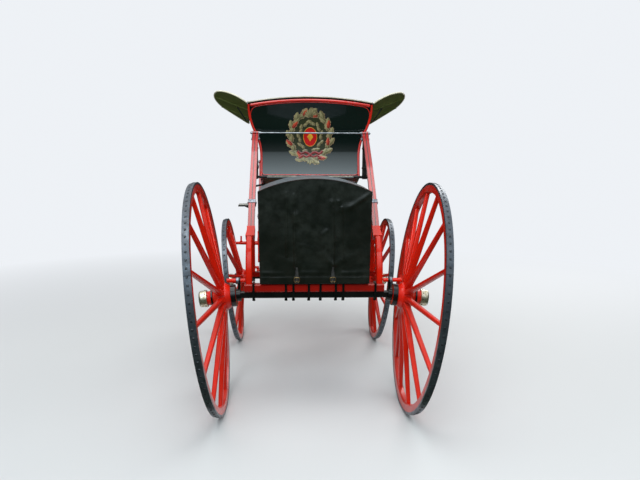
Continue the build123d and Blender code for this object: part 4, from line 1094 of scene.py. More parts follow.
# %% Back panel mouldings
moulding_red = paint("moulding_red", red, varnish=1.0, ripple=0.0002, gloss=0.4)
coat = dict(Coat_Weight=0.5, Coat_Roughness=0.1)
line_cream = worn("line_cream", (222, 219, 198), (176, 168, 140), 0.05, rough=(0.4, 0.55), **coat)
side_run = [(flare_x(z) - 0.0085, z) for z in steps(1.664, 2.272)]
top_run = [(x, crown_z(x) - 0.031) for x in steps(-0.506, 0.506)]
mouldings = [
    tube(on_back(side_run, -0.0035), 0.0095, sides=4),
    tube(on_back([(-x, z) for x, z in side_run], -0.0035), 0.0095, sides=4),
    tube(on_back(top_run, -0.0055), 0.0145, sides=4),
]
piece("panel_mouldings", joined(mouldings), moulding_red)

outer_half = panel_half(0.0035, 0.0035, 0.0035, 0.003, 0.003)
inner_half = panel_half(0.0165, 0.049, 0.022, 0.075, 0.030)
outline = inner_half + [(-x, z) for x, z in reversed(inner_half[1:-1])]
piece("panel_fine_line", tube(on_back(outline, -0.0016), 0.0036, closed=True), moulding_red)

low_line = [(x, back_low_z + 0.010) for x in steps(-0.424, 0.424)]
top_edge = [(x, crown_z(x) - 0.0045) for x in steps(-0.526, 0.526)]
cream_lines = [tube(on_back(low_line, -0.0006), 0.0030), tube(on_back(top_edge, -0.0010), 0.0045)]
piece("panel_cream_lines", joined(cream_lines), line_cream)

frame_count = 90
outer_row, inner_row = evenly(outer_half, frame_count), evenly(inner_half, frame_count)
frame_meshes = []
for side in (1, -1):
    rows = []
    for share in (0, 0.25, 0.5, 0.75, 1):
        strip = [[p + (q - p) * share for p, q in zip(a, b)] for a, b in zip(outer_row, inner_row)]
        rows.append(on_back([(side * x, z) for x, z in strip], 0.0005))
    frame_meshes.append(mesh_of(woven(rows), "frame"))
frame_strip = piece("panel_black_frame", joined(frame_meshes), coach_black)
thicken(frame_strip, 0.0004)
print("Mouldings:", len(mouldings), "frame faces:", len(frame_strip.data.polygons))

# %% [markdown]
# ## Side panel lines
# A fine red line runs round each side panel, a finger's width inside its edge. In the side view
# the edge is a chain of straight runs and arcs, so the same outline is drawn a little smaller
# and laid on the panel from outside, where it follows the flare by itself.

# %% Side panel lines
side_edge = (
    arc((0.2377, 1.650), (0.7334, 1.540), (1.2234, 1.556), 30)
    + [(1.5454, 1.806), (1.5254, 1.832)]
    + arc((1.5254, 1.832), (1.2634, 1.694), (0.9934, 1.728), 24)[1:]
    + arc((0.9934, 1.728), (0.8954, 1.790), (0.8694, 1.890), 12)[1:]
    + arc((0.8694, 1.890), (0.8454, 1.982), (0.7734, 2.016), 10)[1:]
    + [(0.2177, 2.296)]
    + arc((0.1734, 2.350), (0.2614, 1.990), (0.2134, 1.650), 30)[3:-1]
)


def cross_sum(points):
    """Twice the area inside an outline, positive where it runs anticlockwise."""
    return sum(a[0] * b[1] - b[0] * a[1] for a, b in zip(points, points[1:] + points[:1]))


def drawn_in(points, distance):
    """A closed outline moved inwards; points that would cross over are dropped."""
    sign = 1 if cross_sum(points) > 0 else -1
    rows = closed_evenly(points, 260)
    made = []
    for i, spot in enumerate(rows):
        along = (Vector(rows[(i + 2) % len(rows)]) - Vector(rows[i - 2])).normalized()
        moved = Vector(spot) + Vector((-along.y, along.x)) * sign * distance
        if all((moved - Vector(other)).length > distance * 0.93 for other in rows):
            made.append(tuple(moved))
    return made


side_panels = surface_of(nodes["body_sides"].data)
inner_side = [(0, y, z) for y, z in drawn_in(side_edge, 0.026)]
side_lines = [tube(laid(side_panels, inner_side, (-s, 0, 0), -0.0010), 0.0028, closed=True) for s in (1, -1)]
piece("side_panel_lines", joined(side_lines), moulding_red)
print("Side line points:", len(inner_side))

# %% [markdown]
# ## Painted ornament
# The middle of the back panel carries a painted device. This one is a general one of leaves: a
# wreath round a red oval, tied with a ribbon. A leaf is drawn once, with its midrib and veins
# painted from its own UV map, and Geometry Nodes set copies of it round an oval, leaning out
# and in by turns. The flat wreath is then laid on the hollow panel, point by point, with each
# point's height kept as the thickness of the paint.


# %% Leaf and wreath
def leaf_mesh(length, half, lobes=3, relief=0.0012):
    """One leaf along +Y from the origin, with lobed edges and a crowned face."""

    def place(u, v):
        across = 2 * u - 1
        body = sin(pi * min(1.0, 0.04 + 0.96 * v) ** 0.85) ** 0.75
        lobe = 1 + 0.16 * cos(2 * pi * lobes * v + pi)
        height = relief * (1 - across**2) * sin(pi * v) ** 0.5
        return (across * half * body * lobe, v * length, height)

    return grid_mesh(8, 14, place)


wreath = Repeat("wreath", Count="Int", Half_Width="Float", Half_Height="Float", Lean="Float", Turn="Float")
given = wreath.given
spots = wreath.add("GeometryNodeMeshCircle", {"Vertices": given["Count"], "Radius": 1.0})["Mesh"]
begun = wreath.add("ShaderNodeCombineXYZ", {2: given["Turn"]})[0]
size = wreath.add("ShaderNodeCombineXYZ", {0: given["Half Width"], 1: given["Half Height"], 2: 1.0})[0]
spun = wreath.add("GeometryNodeTransform", {"Geometry": spots, "Rotation": begun})[0]
oval = wreath.add("GeometryNodeTransform", {"Geometry": spun, "Scale": size})[0]
place = wreath.add("GeometryNodeInputPosition")[0]
at = wreath.axes(place)
wide = wreath.maths("DIVIDE", given["Half Width"], given["Half Height"])
side = wreath.maths("SIGN", at[0])
along_x = wreath.times(wreath.times(at[1], wide), wreath.times(side, -1.0))
along_y = wreath.times(wreath.maths("DIVIDE", at[0], wide), side)
round_it = wreath.vector("NORMALIZE", wreath.add("ShaderNodeCombineXYZ", {0: along_x, 1: along_y})[0])[0]
odd = wreath.maths("MODULO", wreath.add("GeometryNodeInputIndex")[0], 2.0)
swing = wreath.times(wreath.maths("MULTIPLY_ADD", odd, -1.7, 1.0), given["Lean"])
outward = wreath.vector("SCALE", wreath.vector("NORMALIZE", place)[0], inputs={3: swing})[0]
heading = wreath.turned(wreath.vector("ADD", round_it, outward)[0], "Y", pivot_axis="Z")
wreath.stamped(oval, given["Geometry"], Rotation=heading)
print("Wreath inputs:", [i.name for i in wreath.tree.interface.items_tree if i.in_out == "INPUT"])

# %% Ornament finishes
painted = dict(Coat_Weight=0.6, Coat_Roughness=0.08, Specular_IOR_Level=0.2, Roughness=0.4)


def leaf_paint(name, *tones):
    """Sign painter's leaf: a lit and a shaded half, a midrib, veins and an outline."""
    t = Finish(name, **painted)
    pale, middle, dark, edge = (colour(*tone) for tone in tones)
    at = t.axes(t.add("ShaderNodeUVMap")[0])
    across = t.maths("SUBTRACT", at["X"], 0.5)
    off = t.maths("ABSOLUTE", across)
    wave = t.maths("SINE", t.times(t.maths("MULTIPLY_ADD", off, -0.9, at["Y"]), 44.0))
    tone = t.mixed(t.ramp(across, -0.16, 0.12), pale, middle)
    tone = t.mixed(t.ramp(at["Y"], 0.5, 0.0), tone, dark)
    tone = t.mixed(t.times(t.ramp(wave, 0.55, 0.9), 0.6), tone, dark)
    tone = t.mixed(t.ramp(off, 0.05, 0.025), tone, pale)
    tone = t.mixed(t.ramp(off, 0.42, 0.46), tone, edge)
    return t.feed(Base_Color=tone)


olive_leaf = leaf_paint("olive_leaf", (156, 148, 104), (112, 106, 70), (62, 62, 34), (176, 146, 112))
red_leaf = leaf_paint("red_leaf", (200, 78, 48), (142, 26, 18), (78, 12, 12), (206, 150, 118))
olive_ground = worn("olive_ground", (50, 54, 28), (36, 42, 24), 0.02, 5.0, **painted)
oval_red = worn("oval_red", (206, 18, 14), (170, 10, 8), 0.02, 5.0, **painted)
painted_gold = worn("painted_gold", (226, 172, 44), (188, 132, 40), 0.02, 5.0, **painted)
ribbon_red = worn("ribbon_red", (150, 30, 22), (96, 16, 14), 0.02, 5.0, **painted)
print("Ornament finishes:", [m.name for m in (olive_leaf, red_leaf, olive_ground, oval_red, painted_gold)])

# %% Ornament
heart_z = 1.998


def lay_flat(made, lift):
    """Lays a drawing of the XY plane on the back panel; its Z becomes height over the panel."""
    for vertex in made.vertices:
        x, up, height = vertex.co
        hit = back_panel.ray_cast(Vector((x, -2, heart_z + up)), Vector((0, 1, 0)))[0]
        vertex.co = (hit.x, hit.y - lift - height, hit.z)
    return made


def disc(name, half_x, half_y, finish, lift, relief=0.001):
    """A filled oval with a crowned face, painted on the panel."""

    def place(u, v):
        a, out = 2 * pi * u, 1 - v
        return (half_x * out * cos(a), half_y * out * sin(a), relief * (1 - out**2))

    shape = merged(grid_mesh(48, 10, place))
    bmesh.ops.dissolve_degenerate(shape, edges=shape.edges, dist=0.00002)
    return piece(name, lay_flat(mesh_of(shape, "disc"), lift), finish, sharp=80)


def swallow(points, half, count=30):
    """A flat ribbon along points of the XY plane that ends in a swallow tail."""
    rows = evenly(smooth_line(points, 8), count)

    def place(u, v):
        k, across = round(v * count), 2 * u - 1
        along = (Vector(rows[min(k + 1, count)]) - Vector(rows[max(k - 1, 0)])).normalized()
        tail = 0.014 * (abs(across) - 0.5) if k == count else 0.0
        spot = Vector(rows[k]) + Vector((-along.y, along.x)) * across * half + along * tail
        return (spot.x, spot.y, 0.0012 * sin(pi * u))

    return grid_mesh(6, count, place)


disc("ornament_ground", 0.150, 0.196, olive_ground, 0.0004)
for name, leaf, count, half_x, half_z, lean, turn, finish, lift in (
    ("ornament_outer", leaf_mesh(0.078, 0.0225), 32, 0.170, 0.202, 0.42, 0.06, olive_leaf, 0.0014),
    ("ornament_red", leaf_mesh(0.072, 0.0170), 8, 0.166, 0.192, 0.5, 0.39, red_leaf, 0.0030),
    ("ornament_inner", leaf_mesh(0.050, 0.0120), 20, 0.094, 0.118, 0.35, 0.1, olive_leaf, 0.0016),
):
    oval = dict(Half_Width=half_x, Half_Height=half_z)
    made = wreath.grown(leaf, Count=count, Lean=lean, Turn=turn, Finish=finish, **oval)
    piece(name, lay_flat(made, lift), sharp=80)

palm = []
for i in range(-3, 4):
    level = 0.0006 * (3 - abs(i))
    for up, length, half, angle in (
        (0.170, 0.078 - 0.006 * abs(i), 0.0135, -24 * i),
        (-0.178, 0.062 - 0.005 * abs(i), 0.0125, 180 - 27 * i),
    ):
        leaf = leaf_mesh(length, half, lobes=2)
        leaf.transform(Matrix.Translation((0, up, level)) @ Matrix.Rotation(radians(angle), 4, "Z"))
        palm.append(leaf)
piece("ornament_palm", lay_flat(joined(palm), 0.0030), olive_leaf, sharp=80)


def lozenge(u, v):
    """A point of the gilt lozenge in the oval."""
    return (0.026 * (u - v), 0.038 * (u + v - 1), 0.0016 * sin(pi * u) * sin(pi * v))


disc("ornament_oval", 0.056, 0.078, oval_red, 0.0022, 0.0016)
turns = [2 * pi * k / 60 for k in range(60)]
rim = [(0.058 * cos(a), heart_z + 0.080 * sin(a)) for a in turns]
gilding = [tube(on_back(rim, 0.0026), 0.0022, closed=True), lay_flat(grid_mesh(8, 8, lozenge), 0.0040)]
piece("ornament_gold", joined(gilding), painted_gold)

ribbons = []
for s in (-1, 1):
    upper = [(0, -0.150), (s * 0.040, -0.128), (s * 0.078, -0.142), (s * 0.108, -0.118)]
    lower = [(0, -0.152), (s * 0.030, -0.168), (s * 0.062, -0.158), (s * 0.096, -0.180)]
    ribbons += [swallow(upper, 0.0095), swallow(lower, 0.0085)]
piece("ornament_ribbon", lay_flat(joined(ribbons), 0.0044), ribbon_red)

# %% [markdown]
# ## Braces
# The body hangs on four leather braces: thick straps looped round a pin on the spring and a
# roller on the body's iron, with a keeper sewn round both runs above and below. A belt is a
# closed ribbon that follows a side view and is then given its thickness, so its leather keeps
# the same width all the way round the pins. The two runs draw together a little between them.


# %% Belts
def belt(loop, across, half, columns=6, swell=0.0006):
    """A closed ribbon along a loop of points: across is its width's direction, half half its width."""
    across, loop = Vector(across), [Vector(p) for p in loop]
    middle = sum(loop, Vector()) / len(loop)
    table = []
    for i, spot in enumerate(loop):
        out = (loop[(i + 1) % len(loop)] - loop[i - 1]).cross(across).normalized()
        if out.dot(spot - middle) < 0:
            out = -out
        shares = [2 * k / columns - 1 for k in range(columns + 1)]
        table.append([spot + across * half * t + out * swell * (1 - t**2) for t in shares])
    shape = woven(table, closed=True)
    bmesh.ops.recalc_face_normals(shape, faces=shape.faces)
    return mesh_of(shape, "belt")


brace_r, brace_waist, brace_parts = 0.0143, 0.004, 16


def brace_gap(share):
    """Half the gap between a brace's two runs, a share of the way from pin to pin."""
    return brace_r - brace_waist * sin(pi * share)


def brace_loop(y, top, low):
    """The side view of a brace's loop as (y, z) points."""
    made = []
    for side, start, end in ((1, top, low), (-1, low, top)):
        for a in [pi * k / brace_parts for k in range(brace_parts + 1)]:
            made.append((y + side * brace_r * cos(a), start + side * brace_r * sin(a)))
        for t in [k / brace_parts for k in range(1, brace_parts)]:
            made.append((y - side * brace_gap(t), start + (end - start) * t))
    return made


hide = leather("brace_leather", (16, 15, 15), (44, 40, 37), 0.0022, (0.26, 0.5), dust=0.06)
brace_meshes, keeper_meshes, brace_seams = [], [], []
for y, top, low in ((0.1734, 1.978, 1.658), (1.4854, 1.700, 1.532)):
    loop = brace_loop(y, top, low)
    for x in (-spring_x, spring_x):
        brace_meshes.append(belt([(x, *spot) for spot in loop], (1, 0, 0), 0.0205))
        for share in (0.24, 0.76):
            z, near, far = top + (low - top) * share, brace_gap(share) + 0.0046, 0.0225
            corners = [(x - far, y - near), (x + far, y - near), (x + far, y + near), (x - far, y + near)]
            keeper_meshes.append(belt([(*p, z) for p in closed_evenly(corners, 40)], (0, 0, 1), 0.0075, 4))
        for edge in (-0.0165, 0.0165):
            for face in (-1, 1):
                seam = []
                for z in steps(top - 0.010, low + 0.010, 0.01):
                    gap = brace_gap((top - z) / (top - low)) + 0.0031
                    seam.append((x + edge, y + face * gap, z))
                brace_seams.append(seam)
braces = piece("brace_straps", joined(brace_meshes), hide, 50)
thicken(braces, 0.0056)
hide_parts("braces")
thicken(piece("brace_keepers", joined(keeper_meshes), hide, 50), 0.0026)
stitches("brace_stitches", brace_seams, 0.005, 0.0035, 0.0007)
print("Braces:", len(brace_meshes), "keepers:", len(keeper_meshes), "seams:", len(brace_seams))

# %% [markdown]
# ## Clips and collars
# A grey steel clip binds the leaves of each spring where its stay meets it, with a bolt through
# each side, and a steel collar stands on each round bar over a nave. A clip is a box whose edges
# are rounded by bmesh's bevel. A collar is a profile turned about the bar's axis.


# %% Clips and collars
def turned(profile, place, axis, sides=32):
    """A profile of (along, radius) points turned about an axis through place."""
    shape = bmesh.new()
    rows = []
    for a in [2 * pi * k / sides for k in range(sides)]:
        rows.append([shape.verts.new((r * cos(a), r * sin(a), along)) for along, r in profile])
    for a, b in zip(rows, rows[1:] + rows[:1]):
        for i in range(len(profile)):
            after = (i + 1) % len(profile)
            shape.faces.new((a[i], b[i], b[after], a[after]))
    bmesh.ops.recalc_face_normals(shape, faces=shape.faces)
    shape.transform(Matrix.Translation(place) @ Vector(axis).to_track_quat("Z", "Y").to_matrix().to_4x4())
    return mesh_of(shape, "turned")


def rounded_box(size, place, tilt, r, segments=3):
    """A box with rounded edges, tilted in the side view."""
    shape = bmesh.new()
    bmesh.ops.create_cube(shape, size=1.0)
    bmesh.ops.scale(shape, vec=size, verts=shape.verts)
    bmesh.ops.bevel(shape, geom=shape.edges[:], offset=r, segments=segments, profile=0.5, affect="EDGES")
    shape.transform(Matrix.Translation(place) @ Matrix.Rotation(radians(tilt), 4, "X"))
    return mesh_of(shape, "rounded")


def bolt_head(place, axis, r=0.0075, rise=0.005):
    """A round headed bolt with a chamfered rim."""
    return turned([(0, 0.0004), (0, r), (rise * 0.6, r), (rise, r * 0.72), (rise, 0.0004)], place, axis, 12)


clip_tones = ((138, 144, 152), (92, 96, 102))
clip_steel = worn("clip_steel", *clip_tones, 0.02, 7.0, (0.32, 0.55), 0.0002, Metallic=0.8)
clips = []
for y, z, tilt in ((-0.45609, 1.49244, 43.802), (1.13706, 1.2138, 61.285)):
    for x in (-spring_x, spring_x):
        clips.append(rounded_box((0.0612, 0.0352, 0.0512), (x, y, z), tilt, 0.0035))
        clips += [bolt_head((x + s * 0.0305, y, z), (s, 0, 0)) for s in (-1, 1)]
piece("spring_clips", joined(clips), clip_steel, 40)

half_collar = [(0.008, 0.0235), (0.011, 0.0205), (0.011, 0.0151)]
collar = [(-a, r) for a, r in reversed(half_collar)] + half_collar
bar_collars = [turned(collar, (x, -0.826633, 0.963), (1, 0, 0)) for x in (-0.556, 0.556)]
piece("bar_collars", joined(bar_collars), clip_steel, 40)
print("Parts of clips:", len(clips), "collars:", len(bar_collars))

# %% [markdown]
# ## Wings
# A wing keeps mud off the seat: leather stretched on an iron frame, black above, olive below,
# and bound in cream leather all round, with two ribs under it. It is nearly flat, so a fan of
# rows from its root to its outline gives the sheet, and the leather sinks a little between the
# ribs. Each face of a wing is its own leaf of leather.

# %% Wing shape
wing_tilt = radians(25.7)
wing_start = Vector((0.532, 0.1934, 2.282))
wing_along = Vector((0, 0.580, -0.280)).normalized()
wing_out = Vector((cos(wing_tilt), 0, sin(wing_tilt)))
wing_out = (wing_out - wing_along * wing_out.dot(wing_along)).normalized()
wing_up = wing_along.cross(wing_out).normalized()
if wing_up.z < 0:
    wing_up = -wing_up
wing_n, wing_reach, wing_t, rib_shares = 0.385, 0.321, 0.009, (0.32, 0.68)
wing_count = 96


def wing_arc(start, through, end, count):
    """An arc between places given as shares of the wing's length and reach."""
    return arc(*((a * wing_n, b * wing_reach) for a, b in (start, through, end)), count)


wing_outline = (
    [(wing_n, 0.006)]
    + arc((wing_n, 0.024), (0.87 * wing_n, 0.4 * wing_reach), (0.75 * wing_n, 0.68 * wing_reach), 14)
    + wing_arc((0.75, 0.68), (0.62, 0.88), (0.36, 1), 12)[1:]
    + wing_arc((0.36, 1), (0.16, 0.96), (0, 0.83), 10)[1:]
    + arc((0, 0.83 * wing_reach), (-0.11 * wing_n, 0.48 * wing_reach), (0.004, 0.010), 14)[1:]
)
wing_edge = evenly(wing_outline, wing_count)
root_end, root_start = wing_edge[0][0], wing_edge[-1][0]
wing_root = [(root_end + (root_start - root_end) * k / wing_count, 0.004) for k in range(wing_count + 1)]


def wing_spot(n, r, lift, sign):
    """A point of a wing, n along its root, r out from it and lift above its middle."""
    spot = wing_start + wing_along * n + wing_out * r + wing_up * lift
    return (sign * max(spot.x, flare_x(min(spot.z, corner_z)) + 0.001), spot.y, spot.z)


def wing_face(sign, upper):
    """One face of a wing's leather, from its root to its edge. upper is 1 above and -1 below."""

    def place(u, v):
        (n0, r0), (n1, r1) = wing_root[round(u * wing_count)], wing_edge[round(u * wing_count)]
        n, r = n0 + (n1 - n0) * v, r0 + (r1 - r0) * v
        rim = min(1.0, 6 * v * (1 - v)) * min(1.0, 8 * u * (1 - u))
        near = min(abs(n - share * wing_n) for share in (0, *rib_shares, 1)) / 0.07
        sag = 0.0030 * rim * min(1.0, near) ** 2
        puff = 0.0004 * noise.noise(Vector((n * 30, r * 30, 3.0 if upper > 0 else 2.0)))
        return wing_spot(n, r, upper * (wing_t / 2 - 0.0008 - sag) + puff * rim, sign)

    return grid_mesh(wing_count, 24, place)


print("Wing outline points:", len(wing_edge))

# %% Wings
olive_hide = leather("olive_hide", (84, 96, 40), (104, 114, 58), 0.003, (0.45, 0.7), dust=0.04)
wing_black = leather("wing_black", (17, 18, 18), (40, 42, 42), 0.0025, (0.2, 0.42), dust=0.25)
cream_hide = leather("cream_hide", (224, 220, 196), (186, 178, 148), 0.002, (0.4, 0.6), dust=0.05)


def facing(mesh, wanted):
    """Turns every face of an open sheet to look along a direction, on the whole."""
    shape = merged(mesh)
    bmesh.ops.recalc_face_normals(shape, faces=shape.faces)
    if sum((f.normal.dot(wanted) * f.calc_area() for f in shape.faces), 0.0) < 0:
        bmesh.ops.reverse_faces(shape, faces=shape.faces)
    return mesh_of(shape, "leaf")


bindings, wing_seams, ribs = [], [], []
for side, sign in sides.items():
    up = Vector((sign * wing_up.x, wing_up.y, wing_up.z))
    for face, upper, hide in (("top", 1, wing_black), ("under", -1, olive_hide)):
        mesh = facing(wing_face(sign, upper), up * upper)
        leaf = piece(f"wing_{face}_{side}", mesh, hide, 80)
        thicken(leaf, 0.0016, -1.0)
        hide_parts("wings")
    bindings.append(tube([wing_spot(n, r, 0, sign) for n, r in wing_edge], 0.0058, sides=3))
    seam = [(n * 0.965 + 0.007, max(r - 0.012, 0.006)) for n, r in wing_edge[3:-3]]
    wing_seams += [[wing_spot(n, r, level * 0.0046, sign) for n, r in seam] for level in (-1, 1)]
    for n in [share * wing_n for share in rib_shares]:
        far = max(r for a, r in wing_edge if abs(a - n) < 0.012)
        rib = [wing_spot(n, 0.004 + (far - 0.008) * k / 12, -0.0052, sign) for k in range(13)]
        ribs.append(tube(rib, 0.0042))
piece("wing_binding", joined(bindings), cream_hide, 80)
piece("wing_ribs", joined(ribs), olive_hide, 80)
stitches("wing_stitches", wing_seams, 0.006, 0.004, 0.0008)

# %% [markdown]
# ## Dash and step
# The dash is patent leather stitched over a light iron frame, so it is flat and glossy, sinks a
# little between the frame's bars and has a rolled edge with a seam inside it. The step's tread is
# iron whose top is worn bright by boots and raised in small studs against slipping. Its pale tone
# is partly that wear and partly a painted reflection of the sky above it.

# %% Dash
shine = dict(depth=0.0003, dust=0.08, Coat_Weight=0.5, Coat_Roughness=0.08)
patent = leather("patent_leather", (10, 11, 12), (26, 28, 29), 0.0018, (0.14, 0.3), **shine)
dash_view = arc((1.5457, 1.806), (1.5827, 1.951), (1.5917, 2.096), 60)
dash_half, dash_low, dash_top, dash_corner, dash_t = 0.404, 1.806, 2.096, 0.070, 0.010


def dash_y(z):
    """The rear face of the dash in the side view."""
    for (ya, za), (yb, zb) in zip(dash_view, dash_view[1:]):
        if z <= zb:
            return ya + (yb - ya) * max(0.0, (z - za) / (zb - za))
    return dash_view[-1][0]


def dash_place(u, v):
    """A point of the dash, u across it and v up it, under a top edge with round corners."""
    x = (2 * u - 1) * dash_half
    over = max(0.0, abs(x) - (dash_half - dash_corner))
    edge = dash_top - dash_corner + sqrt(dash_corner**2 - over**2)
    z = dash_low + (edge - dash_low) * v
    panel = abs(sin(pi * min(1.0, max(0.0, (abs(x) + 0.134) / 0.268 % 1.0))))
    sunk = 0.0016 * min(1.0, 8 * v * (1 - v)) * min(1.0, panel * 2.5)
    sunk += 0.0006 * noise.noise(Vector((x * 14, z * 14, 4.0)))
    return (x, dash_y(z) + dash_t / 2 + sunk * 0.5, z)


def dash_round(inset, out):
    """The outline of the dash, drawn in by inset, and out in front of its middle."""
    half, top, r = dash_half - inset, dash_top - inset, max(dash_corner - inset, 0.01)
    turn = [(r * sin(a), r * cos(a)) for a in [pi / 2 * k / 10 for k in range(11)]]
    spots = [(-half, dash_low + inset), (-half, top - r)]
    spots += [(-half + r - b, top - r + a) for a, b in turn[1:]]
    spots += [(half - r + a, top - r + b) for a, b in turn]
    spots.append((half, dash_low + inset))
    return [(x, dash_y(z) + dash_t / 2 + out, z) for x, z in evenly(spots, 160)]


dash = piece("dash_leather", grid_mesh(96, 36, dash_place), patent)
thicken(dash, dash_t - 0.001)
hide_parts("dash")
roll = tube(dash_round(0.0, 0.0), 0.0068, sides=3)
piece("dash_roll", joined([roll]), patent, 80)
stitches("dash_stitches", [dash_round(0.014, side * 0.0052) for side in (-1, 1)], 0.006, 0.0042, 0.0008)
print("Dash:", round(dash_half * 2, 3), "by", round(dash_top - dash_low, 3), "m")

# %% Step
# The tread is painted pale and made only a little metallic: worn steel, and a painted reflection of the sky.
step_tones = ((198, 198, 190), (140, 134, 124))
step_steel = worn("step_steel", *step_tones, 0.015, 8.0, (0.35, 0.6), 0.0003, Metallic=0.25)
lengths = dict(Width="Float", Length="Float", Radius="Float", Rise="Float")
stud = Repeat("studs", Across="Int", Along="Int", **lengths)
given = stud.given
net = {"Size X": given["Width"], "Size Y": given["Length"]}
net |= {"Vertices X": given["Across"], "Vertices Y": given["Along"]}
points = stud.add("GeometryNodeMeshGrid", net)["Mesh"]
stud.stamped(points, stud.cone(8, given["Radius"], 0.6, given["Rise"]))

across, along = 6, 10
studs = stud.grown(
    Across=across, Along=along, Width=0.066, Length=0.126, Radius=0.0042, Rise=0.0022, Finish=step_steel
)
tread = Vector((-0.584, 0.3834, 1.403))  # the middle of the tread's top
wear_plate = rounded_box((0.084, 0.146, 0.0016), tread + Vector((0, 0, 0.0007)), 0, 0.0006, 2)
studs.transform(Matrix.Translation(tread + Vector((0, 0, 0.0012))))
piece("step_tread", joined([wear_plate, studs]), step_steel, 35)
print("Step studs:", across * along)

# %% [markdown]
# ## Cushions
# The seat cushion and the backrest are covered in drab box cloth, stuffed with horsehair and
# drawn in by covered buttons. Stuffing is what cloth simulation is good at: the CAD solid is
# copied, shrunk a little and remeshed into even squares, the button points and the faces that
# rest on wood are held still, and pressure from inside swells the rest until the cloth is
# taut. What the cloth may move is capped, so that the cushions keep to their own places.


# %% Box cloth
def wool(name, *tones):
    """Felted wool: fibres, a hint of twill under the nap, and uneven patches."""
    t = Finish(name, Sheen_Weight=0.35, Sheen_Roughness=0.5, Specular_IOR_Level=0.25)
    tone, deep, shade = (colour(*part) for part in tones)
    place = t.place()
    fibres = t.noise(place, 650.0, 4.0, Roughness=0.7)["Fac"]
    weave = {"Vector": place, "Scale": 150.0, "Distortion": 1.5, "Detail": 2.0}
    twill = t.add("ShaderNodeTexWave", weave, bands_direction="DIAGONAL")["Fac"]
    patch = t.uneven(0.12, 5.0)
    nap = t.maths("MULTIPLY_ADD", twill, 0.35, fibres)
    tone = t.mixed(t.times(patch, 0.5), tone, deep)
    return t.feed(
        Base_Color=t.mixed(t.ramp(fibres, 0.35, 0.7, 0.0, 0.25), tone, shade),
        Roughness=t.ramp(patch, 0.0, 1.0, 0.82, 0.95),
        Normal=t.bump(nap, 0.0004, 0.6),
    )


box_cloth = wool("box_cloth", (172, 158, 126), (150, 136, 106), (116, 104, 80))
trim_cloth = wool("trim_cloth", (104, 90, 66), (88, 76, 56), (66, 56, 42))
print("Cloth:", box_cloth.name)


# %% Stuffing
def islands(mesh):
    """The separate closed shells of a mesh, each as its own bmesh."""
    whole = merged(mesh)
    left, shells = set(whole.verts), []
    while left:
        seed = min(left, key=lambda v: v.index)
        members, waiting = {seed}, [seed]
        while waiting:
            for v in [v for link in waiting.pop().link_edges for v in link.verts if v not in members]:
                members.add(v)
                waiting.append(v)
        left -= members
        keep, part = {v.index for v in members}, whole.copy()
        part.verts.ensure_lookup_table()
        bmesh.ops.delete(part, geom=[v for v in part.verts if v.index not in keep], context="VERTS")
        shells.append(part)
    whole.free()
    return shells


def remeshed(shell, voxel):
    """A shell made into even squares."""
    carrier = placed("shell", mesh_of(shell, "shell"))
    remesh = carrier.modifiers.new("remesh", "REMESH")
    remesh.mode, remesh.voxel_size = "VOXEL", voxel
    return evaluated(carrier)


seat_shells, squab_shells = islands(nodes["seat_cushion"].data), islands(nodes["squabs"].data)
print("Shells:", len(seat_shells), "and", len(squab_shells))


# %% Swelling
def swollen(carrier, frames=20, pressure=5.0):
    """Where the points of a pad end when pressure swells it. The group named held is kept still."""
    cloth = carrier.modifiers.new("cloth", "CLOTH")
    cloth.settings.quality = 4
    cloth.settings.mass = 0.25
    cloth.settings.tension_stiffness = cloth.settings.compression_stiffness = 12
    cloth.settings.bending_stiffness = 0.6
    cloth.settings.use_pressure = True
    cloth.settings.uniform_pressure_force = pressure
    cloth.settings.vertex_group_mass = "held"
    cloth.settings.effector_weights.gravity = 0
    cloth.collision_settings.use_collision = False
    cloth.point_cache.frame_start, cloth.point_cache.frame_end = 1, frames
    for number in range(1, frames + 1):
        scene.frame_set(number)
    shown = carrier.evaluated_get(bpy.context.evaluated_depsgraph_get()).to_mesh()
    ends = [v.co.copy() for v in shown.vertices]
    carrier.modifiers.remove(cloth)
    scene.frame_set(1)
    return ends


def stuffed(name, mesh, held, tuft, cap, limit, shrink=0.004):
    """Swells a mesh of even squares. Of a point and its normal, held gives how firmly it is kept
    and tuft how deep it is drawn in. cap is the longest way it may go, and limit keeps it in its
    place."""
    rest = [(v.co.copy(), v.normal.copy()) for v in mesh.vertices]
    firm = [held(p, n) for p, n in rest]
    start = [p - n * (shrink * (1 - f * (tuft(p, n) == 0.0)) + tuft(p, n)) for (p, n), f in zip(rest, firm)]
    for v, p in zip(mesh.vertices, start):
        v.co = p
    carrier = placed(name + "_raw", mesh)
    pinned = carrier.vertex_groups.new(name="held")
    for i, share in enumerate(firm):
        if share > 0:
            pinned.add([i], share, "REPLACE")
    ends = swollen(carrier)
    for v, p, end in zip(mesh.vertices, start, ends):
        way = end - p
        if way.length > cap:
            way *= cap / way.length
        v.co = limit(p + way)
    fine = carrier.modifiers.new("fine", "SUBSURF")
    fine.levels = fine.render_levels = 1
    made = evaluated(carrier)
    print(name, "points:", len(made.vertices))
    return made


print("Simulation skipped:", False)


# %% Buttons and folds
def tufted(buttons, creases, across, deep, wide, fold_wide=0.009):
    """A rule that says how deep a point is drawn in by buttons and the folds between them, and how
    near it is to a button and to a fold. across gives the two axes that it looks at."""

    def depth(p):
        a, b = p[across[0]], p[across[1]]
        near = min(hypot(a - u, b - v) for u, v in buttons)
        fold = min([1.0] + [beside(a, b, *crease)[1] for crease in creases])
        drawn = deep * exp(-((near / wide) ** 2)) + 0.4 * deep * exp(-((fold / fold_wide) ** 2))
        return drawn, near, fold

    return depth


